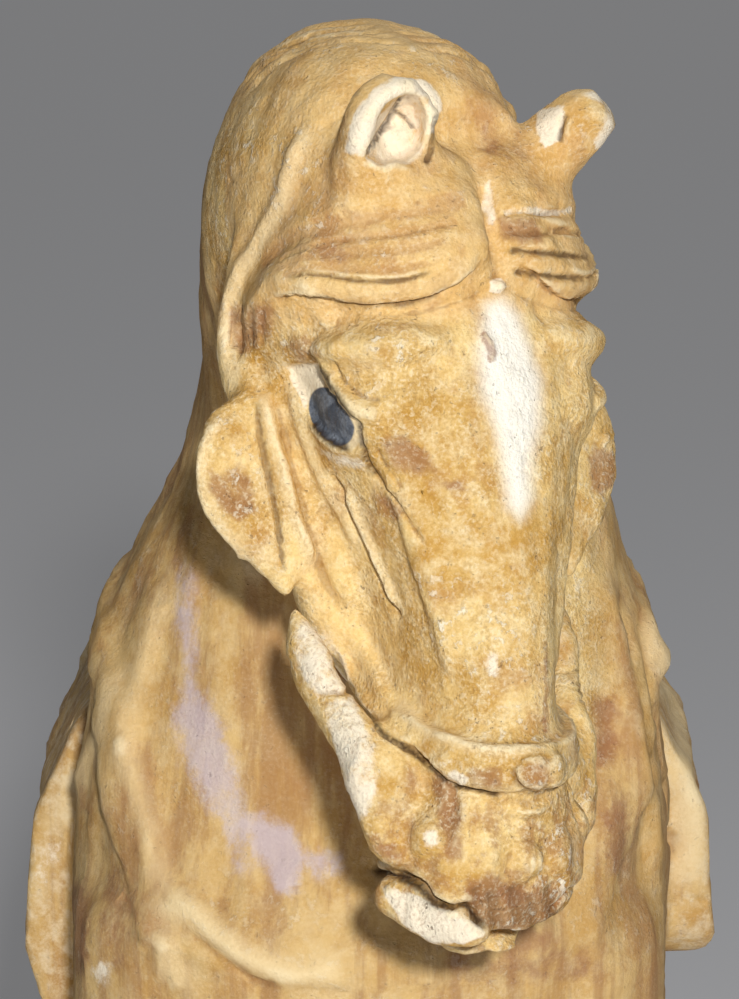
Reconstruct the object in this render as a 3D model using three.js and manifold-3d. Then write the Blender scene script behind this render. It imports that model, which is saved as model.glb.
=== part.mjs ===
// Saddled terracotta horse on a low rectangular base.
// Millimetres, +Z up. The horse faces -Y and its left side is +X.
// The origin is the middle of the base's underside.
import * as THREE from "three";
import { mergeVertices } from "three/addons/utils/BufferGeometryUtils.js";
import Module from "manifold-3d";

const wasm = await Module();
wasm.setup();

// Driving dimensions
const BASE = { width: 176, length: 330, thickness: 14 };
const HEAD_LENGTH = 172; // poll to upper lip
const HEAD_POLL = [23, -178, 526]; // between the ears
const HEAD_TURN = { pitch: -13, roll: 3.5, yaw: 32 }; // degrees: nose out, left side low, turned to its left
const STRAP = { proud: 2.6, width: 9, bodyProud: 3.6, bodyWidth: 12 }; // harness straps, modelled on the clay
const LEAF = { length: 44, width: 27, thickness: 6, out: 14, swing: 8 }; // leaf pendants of the bridle
const LEAF_TOPS = { right: [-39.5, 39, -46], left: [43, 33, -46] }; // in the head's frame
const CLOTH = { proud: 8, front: -48, back: 96, hems: [262, 296], corner: 24, folds: 5, foldDepth: 4.5 };
// Body straps, as [y, z] lines from the side
const BREAST_LINE = [[-165, 327], [-139, 333], [-122, 347], [-110, 373], [-98, 391], [-74, 403], [-48, 412]];
// The bridle's cheek strap and noseband, as a [y, z] line from the side in the head's frame
const BRIDLE_LINE = [[36, -40], [38, -85], [38, -97], [25, -117], [10, -124], [-16, -133]];
const CRUPPER_LINE = [[70, 350], [130, 350], [180, 358]];
const MANE = { locks: 7, depth: 3, crest: 3.4 };
const FORELOCK = { strands: 3, spacing: 8.5, first: 3, widths: [7.5, 7.5, 7], flat: 0.72 };

// Each section row is a centre and three half sizes: across, along across x tangent, and opposite to that.
const TRUNK_SECTIONS = [
  { at: [0, -144, 322], half: [5, 5, 5] },
  { at: [0, -141, 322], half: [24, 25, 26] },
  { at: [0, -132, 322], half: [46, 44, 46] },
  { at: [0, -114, 322], half: [66, 54, 62] },
  { at: [0, -78, 322], half: [78, 66, 73] },
  { at: [0, -30, 322], half: [79, 72, 80] },
  { at: [0, 25, 322], half: [81, 65, 83] },
  { at: [0, 78, 322], half: [79, 69, 75] },
  { at: [0, 120, 322], half: [75, 75, 64] },
  { at: [0, 150, 322], half: [59, 61, 52] },
  { at: [0, 167, 322], half: [34, 38, 34] },
  { at: [0, 172, 322], half: [12, 14, 14] },
];
const NECK_SECTIONS = [
  { at: [0, -64, 312], half: [76, 66, 58] },
  { at: [1, -74, 350], half: [77, 63, 58] },
  { at: [2, -78, 392], half: [70, 55, 55] },
  { at: [4, -82, 432], half: [57, 49, 50] },
  { at: [0, -94, 470], half: [41.5, 45, 44.5] },
  { at: [-3, -122, 506], half: [37.5, 40, 42] },
  { at: [4, -153, 518], half: [33.5, 34.5, 33] },
  { at: [15, -173, 517], half: [25.5, 25, 21] },
];
// The head hangs in its own frame: the poll at the origin, the face towards -Y, the muzzle at -Z.
const HEAD_SECTIONS = [
  { at: [0, 27, 12], half: [9, 9, 9] },
  { at: [0, 26, 7], half: [20, 18, 18] },
  { at: [0, 25, -2], half: [27, 28, 22] },
  { at: [0, 23, -16], half: [31, 37, 26] },
  { at: [0, 21, -33], half: [33, 44, 27] },
  { at: [0, 19, -51], half: [32, 46, 27] },
  { at: [0, 18, -69], half: [25.5, 43, 27] },
  { at: [0, 18, -87], half: [19, 41, 27] },
  { at: [0, 18, -104], half: [16.5, 36, 26] },
  { at: [0, 17, -121], half: [16.5, 29, 24] },
  { at: [0, 16, -137], half: [18.5, 24, 21] },
  { at: [0, 15, -150], half: [19.5, 21, 18] },
  { at: [0, 16, -161], half: [17, 17, 15] },
  { at: [0, 17, -HEAD_LENGTH], half: [8, 8, 8] },
];
const MUZZLE_SECTIONS = [
  { at: [0, 16, -126], half: [12, 14, 16] },
  { at: [0, 15, -137], half: [19, 21, 17.5] },
  { at: [0, 14, -148], half: [22, 24, 16] },
  { at: [0, 14, -158], half: [21, 20, 14] },
  { at: [0, 14, -166], half: [15, 13, 10] },
];
const FORELEG_SECTIONS = [
  { at: [48, -90, 336], half: [27, 40, 40] },
  { at: [48, -88, 288], half: [29, 38, 39] },
  { at: [47, -87, 243], half: [23, 27, 28] },
  { at: [46, -90, 194], half: [17, 19, 20] },
  { at: [45, -93, 146], half: [14, 15, 16] },
  { at: [45, -91, 98], half: [10.5, 12, 11.5] },
  { at: [45, -91, 54], half: [13, 15, 13] },
  { at: [45, -96, 38], half: [12.5, 12.5, 13.5] },
  { at: [45, -99, 27], half: [16, 15.5, 17.5] },
  { at: [45, -101, 8], half: [19.5, 17.5, 21.5] },
];
const HINDLEG_SECTIONS = [
  { at: [46, 114, 333], half: [28, 46, 46] },
  { at: [47, 108, 286], half: [28.5, 43, 44] },
  { at: [45, 108, 238], half: [22, 29, 31] },
  { at: [44, 122, 191], half: [16, 19, 20] },
  { at: [43, 135, 152], half: [13.5, 16, 16] },
  { at: [43, 131, 102], half: [10.5, 13, 12] },
  { at: [43, 127, 56], half: [13, 15, 13] },
  { at: [43, 121, 39], half: [12.5, 12.5, 13.5] },
  { at: [43, 117, 27], half: [16, 15.5, 17.5] },
  { at: [43, 115, 8], half: [19.5, 17.5, 21.5] },
];
const TAIL_SECTIONS = [
  { at: [0, 150, 376], half: [11, 11, 11] },
  { at: [0, 169, 376], half: [12, 12, 12] },
  { at: [0, 182, 360], half: [11, 11, 11] },
  { at: [0, 187, 336], half: [13, 11, 11] },
  { at: [0, 186, 312], half: [12, 10, 10] },
  { at: [0, 183, 296], half: [5, 5, 5] },
];
const SADDLE_SECTIONS = [
  { at: [0, -46, 350], half: [30, 44, 30] },
  { at: [0, -37, 350], half: [50, 84, 30] },
  { at: [0, -22, 350], half: [60, 76, 34] },
  { at: [0, 14, 350], half: [66, 60, 36] },
  { at: [0, 50, 350], half: [64, 64, 36] },
  { at: [0, 78, 350], half: [58, 82, 34] },
  { at: [0, 92, 350], half: [46, 80, 30] },
  { at: [0, 99, 350], half: [26, 46, 24] },
];
const EAR_SECTIONS = {
  right: [
    { at: [-18, 14, -8], half: [10.5, 9, 9] },
    { at: [-20.5, 6, 0], half: [12, 9, 9] },
    { at: [-21, 1, 7.5], half: [12, 8.5, 8.5] },
    { at: [-19.5, -1, 14.5], half: [10, 6.5, 6.5] },
    { at: [-18, -2, 18.5], half: [6, 4, 4] },
  ],
  left: [
    { at: [17, 14, -6], half: [9, 9, 9] },
    { at: [22, 8, 2], half: [9, 9, 9] },
    { at: [27, 2, 8], half: [8.5, 8, 8] },
    { at: [31, -2, 11.5], half: [8, 7.5, 7.5] },
    { at: [33, -4, 13], half: [5.5, 5, 5] },
  ],
};

const radians = THREE.MathUtils.degToRad;
const SIDES = [-1, 1]; // the horse's right, then its left
const TRUNK_SQUARENESS = 2.2;
const HEAD_SQUARENESS = 2.4;
const MUZZLE_SQUARENESS = 2.8;
const HEAD_TAPER = 0.1; // the nose is this share narrower than the middle of the head, and the jaw wider
const NECK_SQUARENESS = 2.1;
const headPose = new THREE.Matrix4().compose(
  new THREE.Vector3(...HEAD_POLL),
  new THREE.Quaternion().setFromEuler(
    new THREE.Euler(radians(HEAD_TURN.pitch), radians(HEAD_TURN.roll), radians(HEAD_TURN.yaw), "ZXY"),
  ),
  new THREE.Vector3(1, 1, 1),
);

// A closed geometry as a solid, its faces turned outwards.
function solidOf(geometry, pose) {
  const bare = geometry.clone();
  bare.deleteAttribute("normal");
  bare.deleteAttribute("uv");
  if (pose) bare.applyMatrix4(pose);
  const merged = mergeVertices(bare, 1e-3);
  const corners = merged.index.array;
  const triangles = [];
  for (let i = 0; i < corners.length; i += 3) {
    const [a, b, c] = corners.slice(i, i + 3);
    if (a !== b && b !== c && c !== a) triangles.push(a, b, c);
  }
  const vertProperties = merged.attributes.position.array;
  const made = (triVerts) => new wasm.Manifold(new wasm.Mesh({ numProp: 3, vertProperties, triVerts }));
  const first = made(new Uint32Array(triangles));
  return first.volume() > 0 ? first : made(new Uint32Array(triangles.reverse()));
}

function geometryOf(solid) {
  const mesh = solid.getMesh();
  return new THREE.BufferGeometry()
    .setAttribute("position", new THREE.BufferAttribute(mesh.vertProperties, 3))
    .setIndex(new THREE.BufferAttribute(mesh.triVerts, 1));
}

const join = (solids) => solids.reduce((whole, piece) => whole.add(piece));
const vector = (numbers) => new THREE.Vector3(...numbers);
const splineOf = (rows, key) =>
  new THREE.CatmullRomCurve3(rows.map((row) => vector(row[key])), false, "catmullrom");
const onSide = (rows, side) => rows.map((row) => ({ ...row, at: [row.at[0] * side, row.at[1], row.at[2]] }));

// One point of a lofted skin. squareness 2 is an ellipse, proud stands the point off the skin,
// and taper narrows the side opposite to across x tangent.
function skinPoint(path, girth, facing, angle, t, { squareness, taper, proud }) {
  const tangent = path.getTangent(t);
  let out = new THREE.Vector3(1, 0, 0).cross(tangent).normalize();
  if (facing) out = facing.getPoint(t).addScaledVector(tangent, -facing.getPoint(t).dot(tangent)).normalize();
  const across = tangent.clone().cross(out);
  const half = girth.getPoint(t);
  const round = (v) => Math.sign(v) * Math.abs(v) ** (2 / squareness);
  const outwards = round(Math.sin(angle)) * ((Math.sin(angle) > 0 ? half.y : half.z) + proud);
  const sideways = round(Math.cos(angle)) * (half.x + proud) * (1 + taper * Math.sin(angle));
  return path.getPoint(t).addScaledVector(across, sideways).addScaledVector(out, outwards);
}

// A solid swept through section rows, or a span of them, whose skin outset(angle, t) grows.
function loft(rows, options) {
  const { sides = 16, rings = 16, squareness = 2, taper = 0, span = [0, 1], pose } = options;
  const { outset = () => 0 } = options;
  const path = splineOf(rows, "at");
  const girth = splineOf(rows, "half");
  const facing = rows[0].facing && splineOf(rows, "facing");
  const geometry = new THREE.CylinderGeometry(1, 1, 1, sides, rings);
  const position = geometry.attributes.position;
  for (let i = 0; i < position.count; i++) {
    const [x, y, z] = position.array.slice(3 * i, 3 * i + 3);
    const t = THREE.MathUtils.lerp(...span, 0.5 - y);
    const angle = Math.atan2(z, x);
    const onRim = Math.hypot(x, z) > 0.5;
    const point = onRim
      ? skinPoint(path, girth, facing, angle, t, { squareness, taper, proud: outset(angle, t) })
      : path.getPoint(t);
    position.setXYZ(i, ...point.toArray());
  }
  return solidOf(geometry, pose);
}

function ellipsoid(centre, radii, { turn = [0, 0, 0], detail = 14, pose } = {}) {
  const geometry = new THREE.SphereGeometry(1, detail, Math.round(detail * 0.7));
  geometry.scale(...radii);
  geometry.applyMatrix4(new THREE.Matrix4().makeRotationFromEuler(new THREE.Euler(...turn.map(radians))));
  geometry.translate(...centre);
  return solidOf(geometry, pose);
}

// A roll of clay along points with facings: width is its half width, flat its thickness over its width.
function roll(points, facings, width, { flat = 0.6, tip = 0.3, sides = 6, rings = 9, pose } = {}) {
  const path = new THREE.CatmullRomCurve3(points);
  const facing = new THREE.CatmullRomCurve3(facings);
  const rows = [];
  for (let i = 0; i <= rings; i++) {
    const t = i / rings;
    const reach = width * (tip + (1 - tip) * Math.sin(Math.PI * (0.08 + 0.84 * t)) ** 0.7);
    rows.push({
      at: path.getPoint(t).toArray(),
      half: [reach, reach * flat, reach * flat],
      facing: facing.getPoint(t).toArray(),
    });
  }
  return loft(rows, { sides, rings, pose });
}

// A side-view outline of [y, z] points, cut through from one side to the other.
function sideCut(outline, fromX, toX, pose) {
  const shape = new THREE.Shape(outline.map(([y, z]) => new THREE.Vector2(y, z)));
  const geometry = new THREE.ExtrudeGeometry(shape, { depth: toX - fromX, bevelEnabled: false });
  // Shape x, y and depth become the part's y, z and x.
  geometry.applyMatrix4(new THREE.Matrix4().set(0, 0, 1, fromX, 1, 0, 0, 0, 0, 1, 0, 0, 0, 0, 0, 1));
  return solidOf(geometry, pose);
}

// The outline of a strap of one width along a line of [y, z] points.
function strapOutline(line, width, steps = 9) {
  const curve = new THREE.SplineCurve(line.map(([y, z]) => new THREE.Vector2(y, z)));
  const edge = (sign) =>
    Array.from({ length: steps + 1 }, (_, i) => {
      const tangent = curve.getTangent(i / steps);
      const point = curve.getPoint(i / steps);
      return [point.x - sign * tangent.y * (width / 2), point.y + sign * tangent.x * (width / 2)];
    });
  return [...edge(1), ...edge(-1).reverse()];
}

// The head's skin by turn from the face's middle, in degrees, and by distance below the poll.
const headPath = splineOf(HEAD_SECTIONS, "at");
const headGirth = splineOf(HEAD_SECTIONS, "half");
function headAt(side, turn, below, proud) {
  let low = 0;
  let high = 1;
  for (let i = 0; i < 30; i++) {
    const middle = (low + high) / 2;
    if (-headPath.getPoint(middle).z < below) low = middle;
    else high = middle;
  }
  const angle = radians(-90 + side * turn);
  const form = { squareness: HEAD_SQUARENESS, taper: HEAD_TAPER, proud };
  const point = skinPoint(headPath, headGirth, null, angle, low, form);
  const axis = headPath.getPoint(low);
  const facing = new THREE.Vector3(point.x - axis.x, point.y - axis.y, 0).normalize();
  return { point, facing };
}

// Head
const HEAD_MESH = { sides: 18, rings: 15, squareness: HEAD_SQUARENESS, taper: HEAD_TAPER, pose: headPose };

function brow() {
  return ellipsoid([0, 10, -38], [38, 17, 11.5], { detail: 10, pose: headPose });
}

function eye(side) {
  const socket = ellipsoid([side * 18, 15, -51], [16, 20, 17], { detail: 10, pose: headPose });
  const ball = ellipsoid([side * 26, 8, -52], [8.5, 7, 6.5], { detail: 8, pose: headPose });
  return join([socket, ball]);
}

const JOWL = { at: [20, 40, -52], half: [11, 23, 28], lean: -14 };
function jowl(side, proud = 0) {
  const [x, y, z] = JOWL.at;
  const half = JOWL.half.map((h) => h + proud);
  return ellipsoid([side * x, y, z], half, { turn: [JOWL.lean, 0, 0], detail: 9, pose: headPose });
}

// The lower jaw's edge, from the jowl to the chin groove.
const JAW_SECTIONS = [
  { at: [20, 40, -62], half: [10, 12, 12] },
  { at: [20, 41, -86], half: [9.5, 13, 13] },
  { at: [15.5, 41, -95], half: [8.5, 13, 13] },
  { at: [11, 40, -105], half: [7.5, 11, 11] },
  { at: [7, 38, -114], half: [5, 8, 8] },
];
function jaw(side, proud = 0) {
  return loft(onSide(JAW_SECTIONS, side), { sides: 7, rings: 5, outset: () => proud, pose: headPose });
}

// Short hair between the forelock's ends and the headstall.
function temple(side) {
  return ellipsoid([side * 27, 31, -26], [13, 20, 19], { detail: 8, pose: headPose });
}

function cheekBone(side) {
  const bone = [0, 1, 2, 3].map((i) => headAt(side, 64 - 3 * i, 62 + 16 * i, 0));
  const facings = bone.map((b) => b.facing);
  return roll(bone.map((b) => b.point), facings, 4.8, { flat: 0.55, rings: 7, pose: headPose });
}

// The forelock is parted in the middle and swept over each brow to behind the eye.
function forelock(side) {
  const turns = [2, 24, 48, 72, 90, 108];
  const droop = [0, 3, 4, 3, 6, 14];
  const strands = [];
  for (let i = 0; i < FORELOCK.strands; i++) {
    const below = FORELOCK.first + i * FORELOCK.spacing;
    const stops = turns.map((turn, k) => headAt(side, turn, below + droop[k] * (0.4 + 0.25 * i), 1 + i));
    strands.push(roll(stops.map((s) => s.point), stops.map((s) => s.facing), FORELOCK.widths[i],
      { flat: FORELOCK.flat, tip: 0.5, sides: 7, rings: 7, pose: headPose }));
  }
  return join(strands);
}

// Both ears are broken short. The right one still shows its hollow, and the left one is a stub.
function ears() {
  const cup = loft(EAR_SECTIONS.right, { sides: 10, rings: 6, pose: headPose });
  const hollow = ellipsoid([-20, -8, 7.5], [8.5, 11, 9], { turn: [-25, 0, 0], detail: 8, pose: headPose });
  const stub = loft(EAR_SECTIONS.left, { sides: 8, rings: 5, pose: headPose });
  return join([cup.subtract(hollow), stub]);
}

function muzzle() {
  const block = loft(MUZZLE_SECTIONS, { sides: 14, rings: 7, squareness: MUZZLE_SQUARENESS, pose: headPose });
  const lowerLip = ellipsoid([0, 29, -160], [14, 12, 10], { detail: 10, pose: headPose });
  const nostril = (side) => ellipsoid([side * 13, -3, -146], [4, 4, 4.5], { detail: 6, pose: headPose });
  return { whole: join([block, lowerLip]), nostrils: join(SIDES.map(nostril)) };
}

function mouthGap() {
  return sideCut([[2, -169], [29, -152], [30, -154], [10, -178]], -40, 40, headPose);
}

// Bridle
function headstall(side) {
  const line = [[23, 20, 16], [31, 36, 0], [36.5, 46, -20], [38, 47, -36], [39, 41, -48]];
  const points = line.map(([x, y, z]) => new THREE.Vector3(side * x, y, z));
  const facings = points.map(() => new THREE.Vector3(side, -0.3, 0));
  return roll(points, facings, STRAP.width / 2, { flat: 0.7, tip: 0.7, sides: 8, rings: 7, pose: headPose });
}

function bridle() {
  const skin = join([
    loft(HEAD_SECTIONS, { ...HEAD_MESH, outset: () => STRAP.proud }),
    ...SIDES.flatMap((side) => [jowl(side, STRAP.proud), jaw(side, STRAP.proud)]),
  ]);
  const strap = (line) => skin.intersect(sideCut(strapOutline(line, STRAP.width), -60, 60, headPose));
  return join([
    ...SIDES.map(headstall),
    strap(BRIDLE_LINE),
    ellipsoid([0, -7, -131], [6, 5, 6], { detail: 8, pose: headPose }),
  ]);
}

function leafPendant(side) {
  const { length, width, thickness, out, swing } = LEAF;
  const edge = thickness / 4;
  const belly = width / 2;
  const shape = new THREE.Shape();
  shape.moveTo(0, 0);
  shape.bezierCurveTo(belly * 0.7, 0, belly * 1.1, -length * 0.22, belly, -length * 0.45);
  shape.bezierCurveTo(belly * 0.84, -length * 0.7, belly * 0.3, -length * 0.8, 0, -length);
  shape.bezierCurveTo(-belly * 0.3, -length * 0.8, -belly * 0.84, -length * 0.7, -belly, -length * 0.45);
  shape.bezierCurveTo(-belly * 1.1, -length * 0.22, -belly * 0.7, 0, 0, 0);
  const geometry = new THREE.ExtrudeGeometry(shape, {
    depth: thickness - 2 * edge, curveSegments: 3, bevelThickness: edge, bevelSize: edge, bevelSegments: 1,
  });
  // The leaf's face turns from +Z to the front, then outwards, and its tip swings in.
  geometry.rotateX(radians(90));
  geometry.rotateY(radians(side * swing));
  geometry.rotateZ(radians(side * out));
  geometry.translate(...(side < 0 ? LEAF_TOPS.right : LEAF_TOPS.left));
  return solidOf(geometry, headPose);
}

// The bit's cheekpiece: a pointed leaf above, a knot, and a curl below.
function cheekpiece(side) {
  const rows = [
    { at: [34, 33, -93], half: [1.2, 1.5, 1.5] },
    { at: [33, 31, -103], half: [4.6, 6.5, 6.5] },
    { at: [31, 27, -113], half: [4.6, 6.5, 6.5] },
    { at: [28, 21, -122], half: [5.2, 7, 7] },
    { at: [27, 17, -133], half: [4.8, 6, 6] },
    { at: [26, 15, -144], half: [4.4, 5, 5] },
    { at: [23, 13, -150], half: [2.6, 3, 3] },
  ];
  const peg = ellipsoid([side * 22, 20, -123], [8, 5, 5], { detail: 6, pose: headPose });
  return join([loft(onSide(rows, side), { sides: 7, rings: 8, pose: headPose }), peg]);
}

const LEG_MESH = { sides: 9, rings: 11 };
const NECK_MESH = { sides: 18, rings: 24, squareness: NECK_SQUARENESS };
const TRUNK_MESH = { sides: 18, rings: 12, squareness: TRUNK_SQUARENESS };

// Neck: the mane's locks are grooves that run back and down from the crest.
function neck() {
  const outset = (angle, t) => {
    const fromCrest = Math.abs(angle + Math.PI / 2);
    const onNeck = THREE.MathUtils.smoothstep(t, 0.25, 0.45);
    const hair = onNeck * (1 - THREE.MathUtils.smoothstep(fromCrest, 0.5, 1.2));
    const lock = Math.abs(Math.sin(Math.PI * MANE.locks * (t + 0.07 * fromCrest)));
    return hair * (MANE.crest + MANE.depth * (lock - 0.5));
  };
  return loft(NECK_SECTIONS, { ...NECK_MESH, outset });
}

// Saddle and cloth
const CLOTH_SPAN = [0.28, 0.74]; // the stretch of the trunk that the cloth covers
const CLOTH_TOP = 420;

// The cloth hangs lower on the right side than on the left.
function saddleCloth() {
  const { proud, front, back, hems, corner, folds, foldDepth } = CLOTH;
  const path = splineOf(TRUNK_SECTIONS, "at");
  const drape = (angle, t) => {
    const hang = THREE.MathUtils.smoothstep(-Math.sin(angle), -0.7, 0.5);
    const wave = Math.cos((2 * Math.PI * folds * (path.getPoint(t).y - front)) / (back - front));
    return proud + hang * (foldDepth * (1 + wave) + 2);
  };
  const skin = loft(TRUNK_SECTIONS, { ...TRUNK_MESH, rings: 18, span: CLOTH_SPAN, outset: drape });
  const half = (side) => {
    const hem = hems[SIDES.indexOf(side)];
    const outline = new THREE.Shape();
    outline.moveTo(front, CLOTH_TOP);
    outline.lineTo(front, hem + corner);
    outline.quadraticCurveTo(front, hem, front + corner, hem);
    outline.lineTo(back - corner, hem);
    outline.quadraticCurveTo(back, hem, back, hem + corner);
    outline.lineTo(back, CLOTH_TOP);
    const [low, high] = side < 0 ? [-130, 1] : [-1, 130];
    return sideCut(outline.getPoints(5).map((p) => [p.x, p.y]), low, high);
  };
  return skin.intersect(join(SIDES.map(half)));
}

function saddle() {
  return loft(SADDLE_SECTIONS, { sides: 12, rings: 10, squareness: TRUNK_SQUARENESS });
}

// Harness on the body
function bodyHarness() {
  const outset = () => STRAP.bodyProud;
  const proud = join([
    loft(TRUNK_SECTIONS, { ...TRUNK_MESH, outset }),
    loft(NECK_SECTIONS, { ...NECK_MESH, outset }),
    ...SIDES.map((side) => loft(onSide(FORELEG_SECTIONS, side), { ...LEG_MESH, outset })),
  ]);
  const strap = (line) => proud.intersect(sideCut(strapOutline(line, STRAP.bodyWidth, 5), -120, 120));
  return join([
    strap(BREAST_LINE),
    strap(CRUPPER_LINE),
  ]);
}

function legs(side) {
  return join([
    loft(onSide(FORELEG_SECTIONS, side), LEG_MESH),
    loft(onSide(HINDLEG_SECTIONS, side), LEG_MESH),
  ]);
}

function horse() {
  const face = SIDES.flatMap((side) => [eye(side), jowl(side), jaw(side), temple(side), cheekBone(side)]);
  const mouth = muzzle();
  const head = join([loft(HEAD_SECTIONS, HEAD_MESH), brow(), ...face, mouth.whole])
    .subtract(mouth.nostrils)
    .subtract(mouthGap());
  const hair = [...SIDES.map(forelock), ears()];
  const tack = [bridle(), ...SIDES.flatMap((side) => [leafPendant(side), cheekpiece(side)])];
  const body = [loft(TRUNK_SECTIONS, TRUNK_MESH), neck()];
  const limbs = [...SIDES.map(legs), loft(TAIL_SECTIONS, { sides: 8, rings: 7 })];
  const ground = new THREE.BoxGeometry(600, 600, 100).translate(0, 0, BASE.thickness - 50);
  return join([head, ...hair, ...tack, ...body, ...limbs, saddleCloth(), saddle(), bodyHarness()])
    .subtract(solidOf(ground));
}

const clay = new THREE.MeshStandardMaterial({ color: 0xc79a52, roughness: 0.85, metalness: 0 });
const group = new THREE.Group();
const horseMesh = new THREE.Mesh(geometryOf(horse()), clay);
horseMesh.name = "horse";
const baseMesh = new THREE.Mesh(new THREE.BoxGeometry(BASE.width, BASE.length, BASE.thickness), clay.clone());
baseMesh.name = "base_slab";
baseMesh.position.set(0, 0, BASE.thickness / 2);
group.add(horseMesh, baseMesh);

export default group;
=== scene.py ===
"""Saddled terracotta horse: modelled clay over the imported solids, with its worn paint, on a worn base."""
import math

import bmesh
import bpy
import numpy as np
from mathutils import Matrix, Vector
from mathutils.bvhtree import BVHTree


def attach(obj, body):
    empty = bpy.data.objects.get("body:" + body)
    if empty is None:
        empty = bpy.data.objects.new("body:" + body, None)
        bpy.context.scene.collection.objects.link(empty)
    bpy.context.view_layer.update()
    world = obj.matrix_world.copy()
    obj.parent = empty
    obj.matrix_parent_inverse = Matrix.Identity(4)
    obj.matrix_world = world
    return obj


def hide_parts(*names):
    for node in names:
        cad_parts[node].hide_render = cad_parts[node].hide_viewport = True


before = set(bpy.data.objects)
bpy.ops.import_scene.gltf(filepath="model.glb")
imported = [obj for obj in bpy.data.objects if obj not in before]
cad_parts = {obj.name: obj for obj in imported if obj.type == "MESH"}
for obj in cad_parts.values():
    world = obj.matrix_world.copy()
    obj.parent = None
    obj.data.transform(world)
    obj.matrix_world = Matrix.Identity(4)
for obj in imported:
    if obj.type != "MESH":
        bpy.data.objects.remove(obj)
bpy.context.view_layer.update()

# Driving sizes, in millimetres and degrees
MM = 0.001
CAMERA = {"target": (0, -178, 452), "elevation": 12, "distance": 830, "lens": 134.6, "sensor": 36}
PHOTO = {"width": 739, "height": 999}
HEAD = {"poll": (23, -178, 526), "pitch": -13, "roll": 3.5, "yaw": 32}
HEAD_BOX = {"low": (-64, -34, -186), "high": (64, 66, 34), "margin": 14}
CHEST = {"front": -164, "top": 368, "fade": 14}
FORELOCK_BOX = {"low": (-46, -20, -30), "high": (46, 50, 6), "margin": 5}
MUZZLE = (-142, -128)
CLOTH_BOX = {"low": (-200, -54, 252), "high": (200, 106, 480), "margin": 7}
SKIN = {"grid": 1.25, "base_grid": 2.0, "triangles": 194000, "head_share": 0.3}
BREAST_STRAP = {"half": 5.5, "height": 1.7, "line": [
    (-165, 327), (-139, 333), (-122, 347), (-110, 373), (-98, 391), (-74, 403), (-50, 411)]}
CRUPPER_STRAP = {"half": 5.5, "height": 1.7, "line": [(92, 350), (130, 350), (182, 358)]}
CREST_LINE = [
    (10, -165, 546), (2, -140, 552), (-3, -112, 545), (-2, -88, 522), (0, -62, 486), (0, -46, 448)]
MANE = {"locks": 24, "reach": 34, "sweep": 22, "fall": 14, "depth": 1.0, "width": 1.3}
EYE = {"edge": 1.7, "middle": 0.2, "round": 6.0, "softening": 24, "edge_softening": 3, "ball_softening": 40}
FLUTES = {"low": 300, "high": 500, "fade": 40, "width": 7.0, "length": 60.0, "depth": 0.9}
LEGS = {"low": 215, "high": 250, "kept": 0.85}
PASSES = {"body": 120, "all": 6, "forelock": 36, "head": 2, "base": 8, "wear": 6}
STRANDS = {"first": 0.06, "last": 0.86, "count": 8}
HAIR_REACH = {"full": 26, "none": 48, "search": 50}
DEPTH_REACH = {"lump": 25, "outline": 32}
TRACE_STEP = 5
OUTLINE_MARGIN = 50
# Unevenness of the clay: height and size in millimetres, and seed
SWELLS = [(0.3, 11, 3), (0.2, 4.2, 5), (0.16, 1.9, 7)]
MUZZLE_SWELLS = [(0.7, 6, 15), (0.3, 2.6, 17)]
BASE_SWELLS = [(0.5, 16, 21), (0.2, 4, 23)]
PITS = {"size": 2.6, "seed": 9, "level": 0.45, "depth": 0.8}

# Lines on the head as the photo shows them, in photo pixels. The hidden side takes their mirror image.
EYE_OPENING = [(284, 367), (300, 364), (318, 363), (324, 374), (330, 386), (338, 398), (346, 409), (353, 416),
               (359, 421), (360, 433), (360, 446), (350, 449), (335, 444), (322, 435), (312, 422), (305, 407),
               (298, 393), (291, 380)]
PUPIL = {"top": (317, 388), "bottom": (345, 444), "left": (313, 425), "right": (349, 407)}
PUPIL_CUT = 0.8
UPPER_LID = [(322, 358), (331, 376), (341, 391), (351, 403), (364, 411), (384, 413)]
LID_FOLD = [(332, 358), (340, 376), (350, 388), (362, 396), (382, 400)]
LOWER_LID = [(294, 394), (304, 414), (316, 432), (332, 447), (350, 454)]
TEAR_LINE = [(360, 420), (361, 440), (366, 460), (376, 476), (392, 498), (410, 525), (428, 552)]
TEAR_FOLD = [(374, 446), (382, 462), (395, 478), (402, 492)]
BRIDLE_RIDGE = [(262, 390), (270, 425), (280, 463), (292, 505), (303, 538), (315, 570)]
BRIDLE_GROOVE = [(270, 392), (280, 425), (290, 460), (302, 505), (314, 550), (326, 586), (345, 612)]
CHEEK_RIDGE = [(286, 376), (298, 415), (312, 455), (328, 492), (346, 522), (360, 552)]
CHEEK_GROOVE = [(328, 468), (340, 490), (352, 515), (363, 537), (374, 562), (386, 591), (402, 626)]
FACE_RIDGE = [(345, 486), (358, 517), (372, 549), (386, 581), (400, 612)]
STRAP_RECESS = [(345, 600), (360, 620), (374, 645), (386, 672), (396, 692)]
NOSEBAND_TOP = [(394, 700), (420, 724), (450, 737), (480, 745), (510, 748), (546, 743)]
NOSEBAND_EDGE = [
    (371, 715), (380, 731), (396, 742), (418, 756), (432, 768), (446, 780), (459, 787), (480, 790),
    (502, 795)]
BOSS_EDGE = [(511, 766), (515, 780), (524, 790), (538, 793), (551, 786)]
FORELOCK_TOP = [(254, 268), (276, 238), (312, 219), (360, 207), (420, 197), (478, 186)]
FORELOCK_CREASE = [(284, 279), (302, 273), (324, 274), (352, 279), (385, 281), (410, 278), (432, 271)]
FORELOCK_ROLL = [(288, 288), (306, 286), (340, 289), (380, 292), (420, 288), (455, 274), (480, 254)]
FORELOCK_EDGE = [
    (266, 308), (280, 298), (300, 294), (322, 297), (350, 303), (380, 304), (412, 302), (444, 290),
    (482, 264)]
FORELOCK_UNDER = [(322, 306), (352, 313), (390, 314), (430, 309), (468, 298), (488, 284)]
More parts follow.
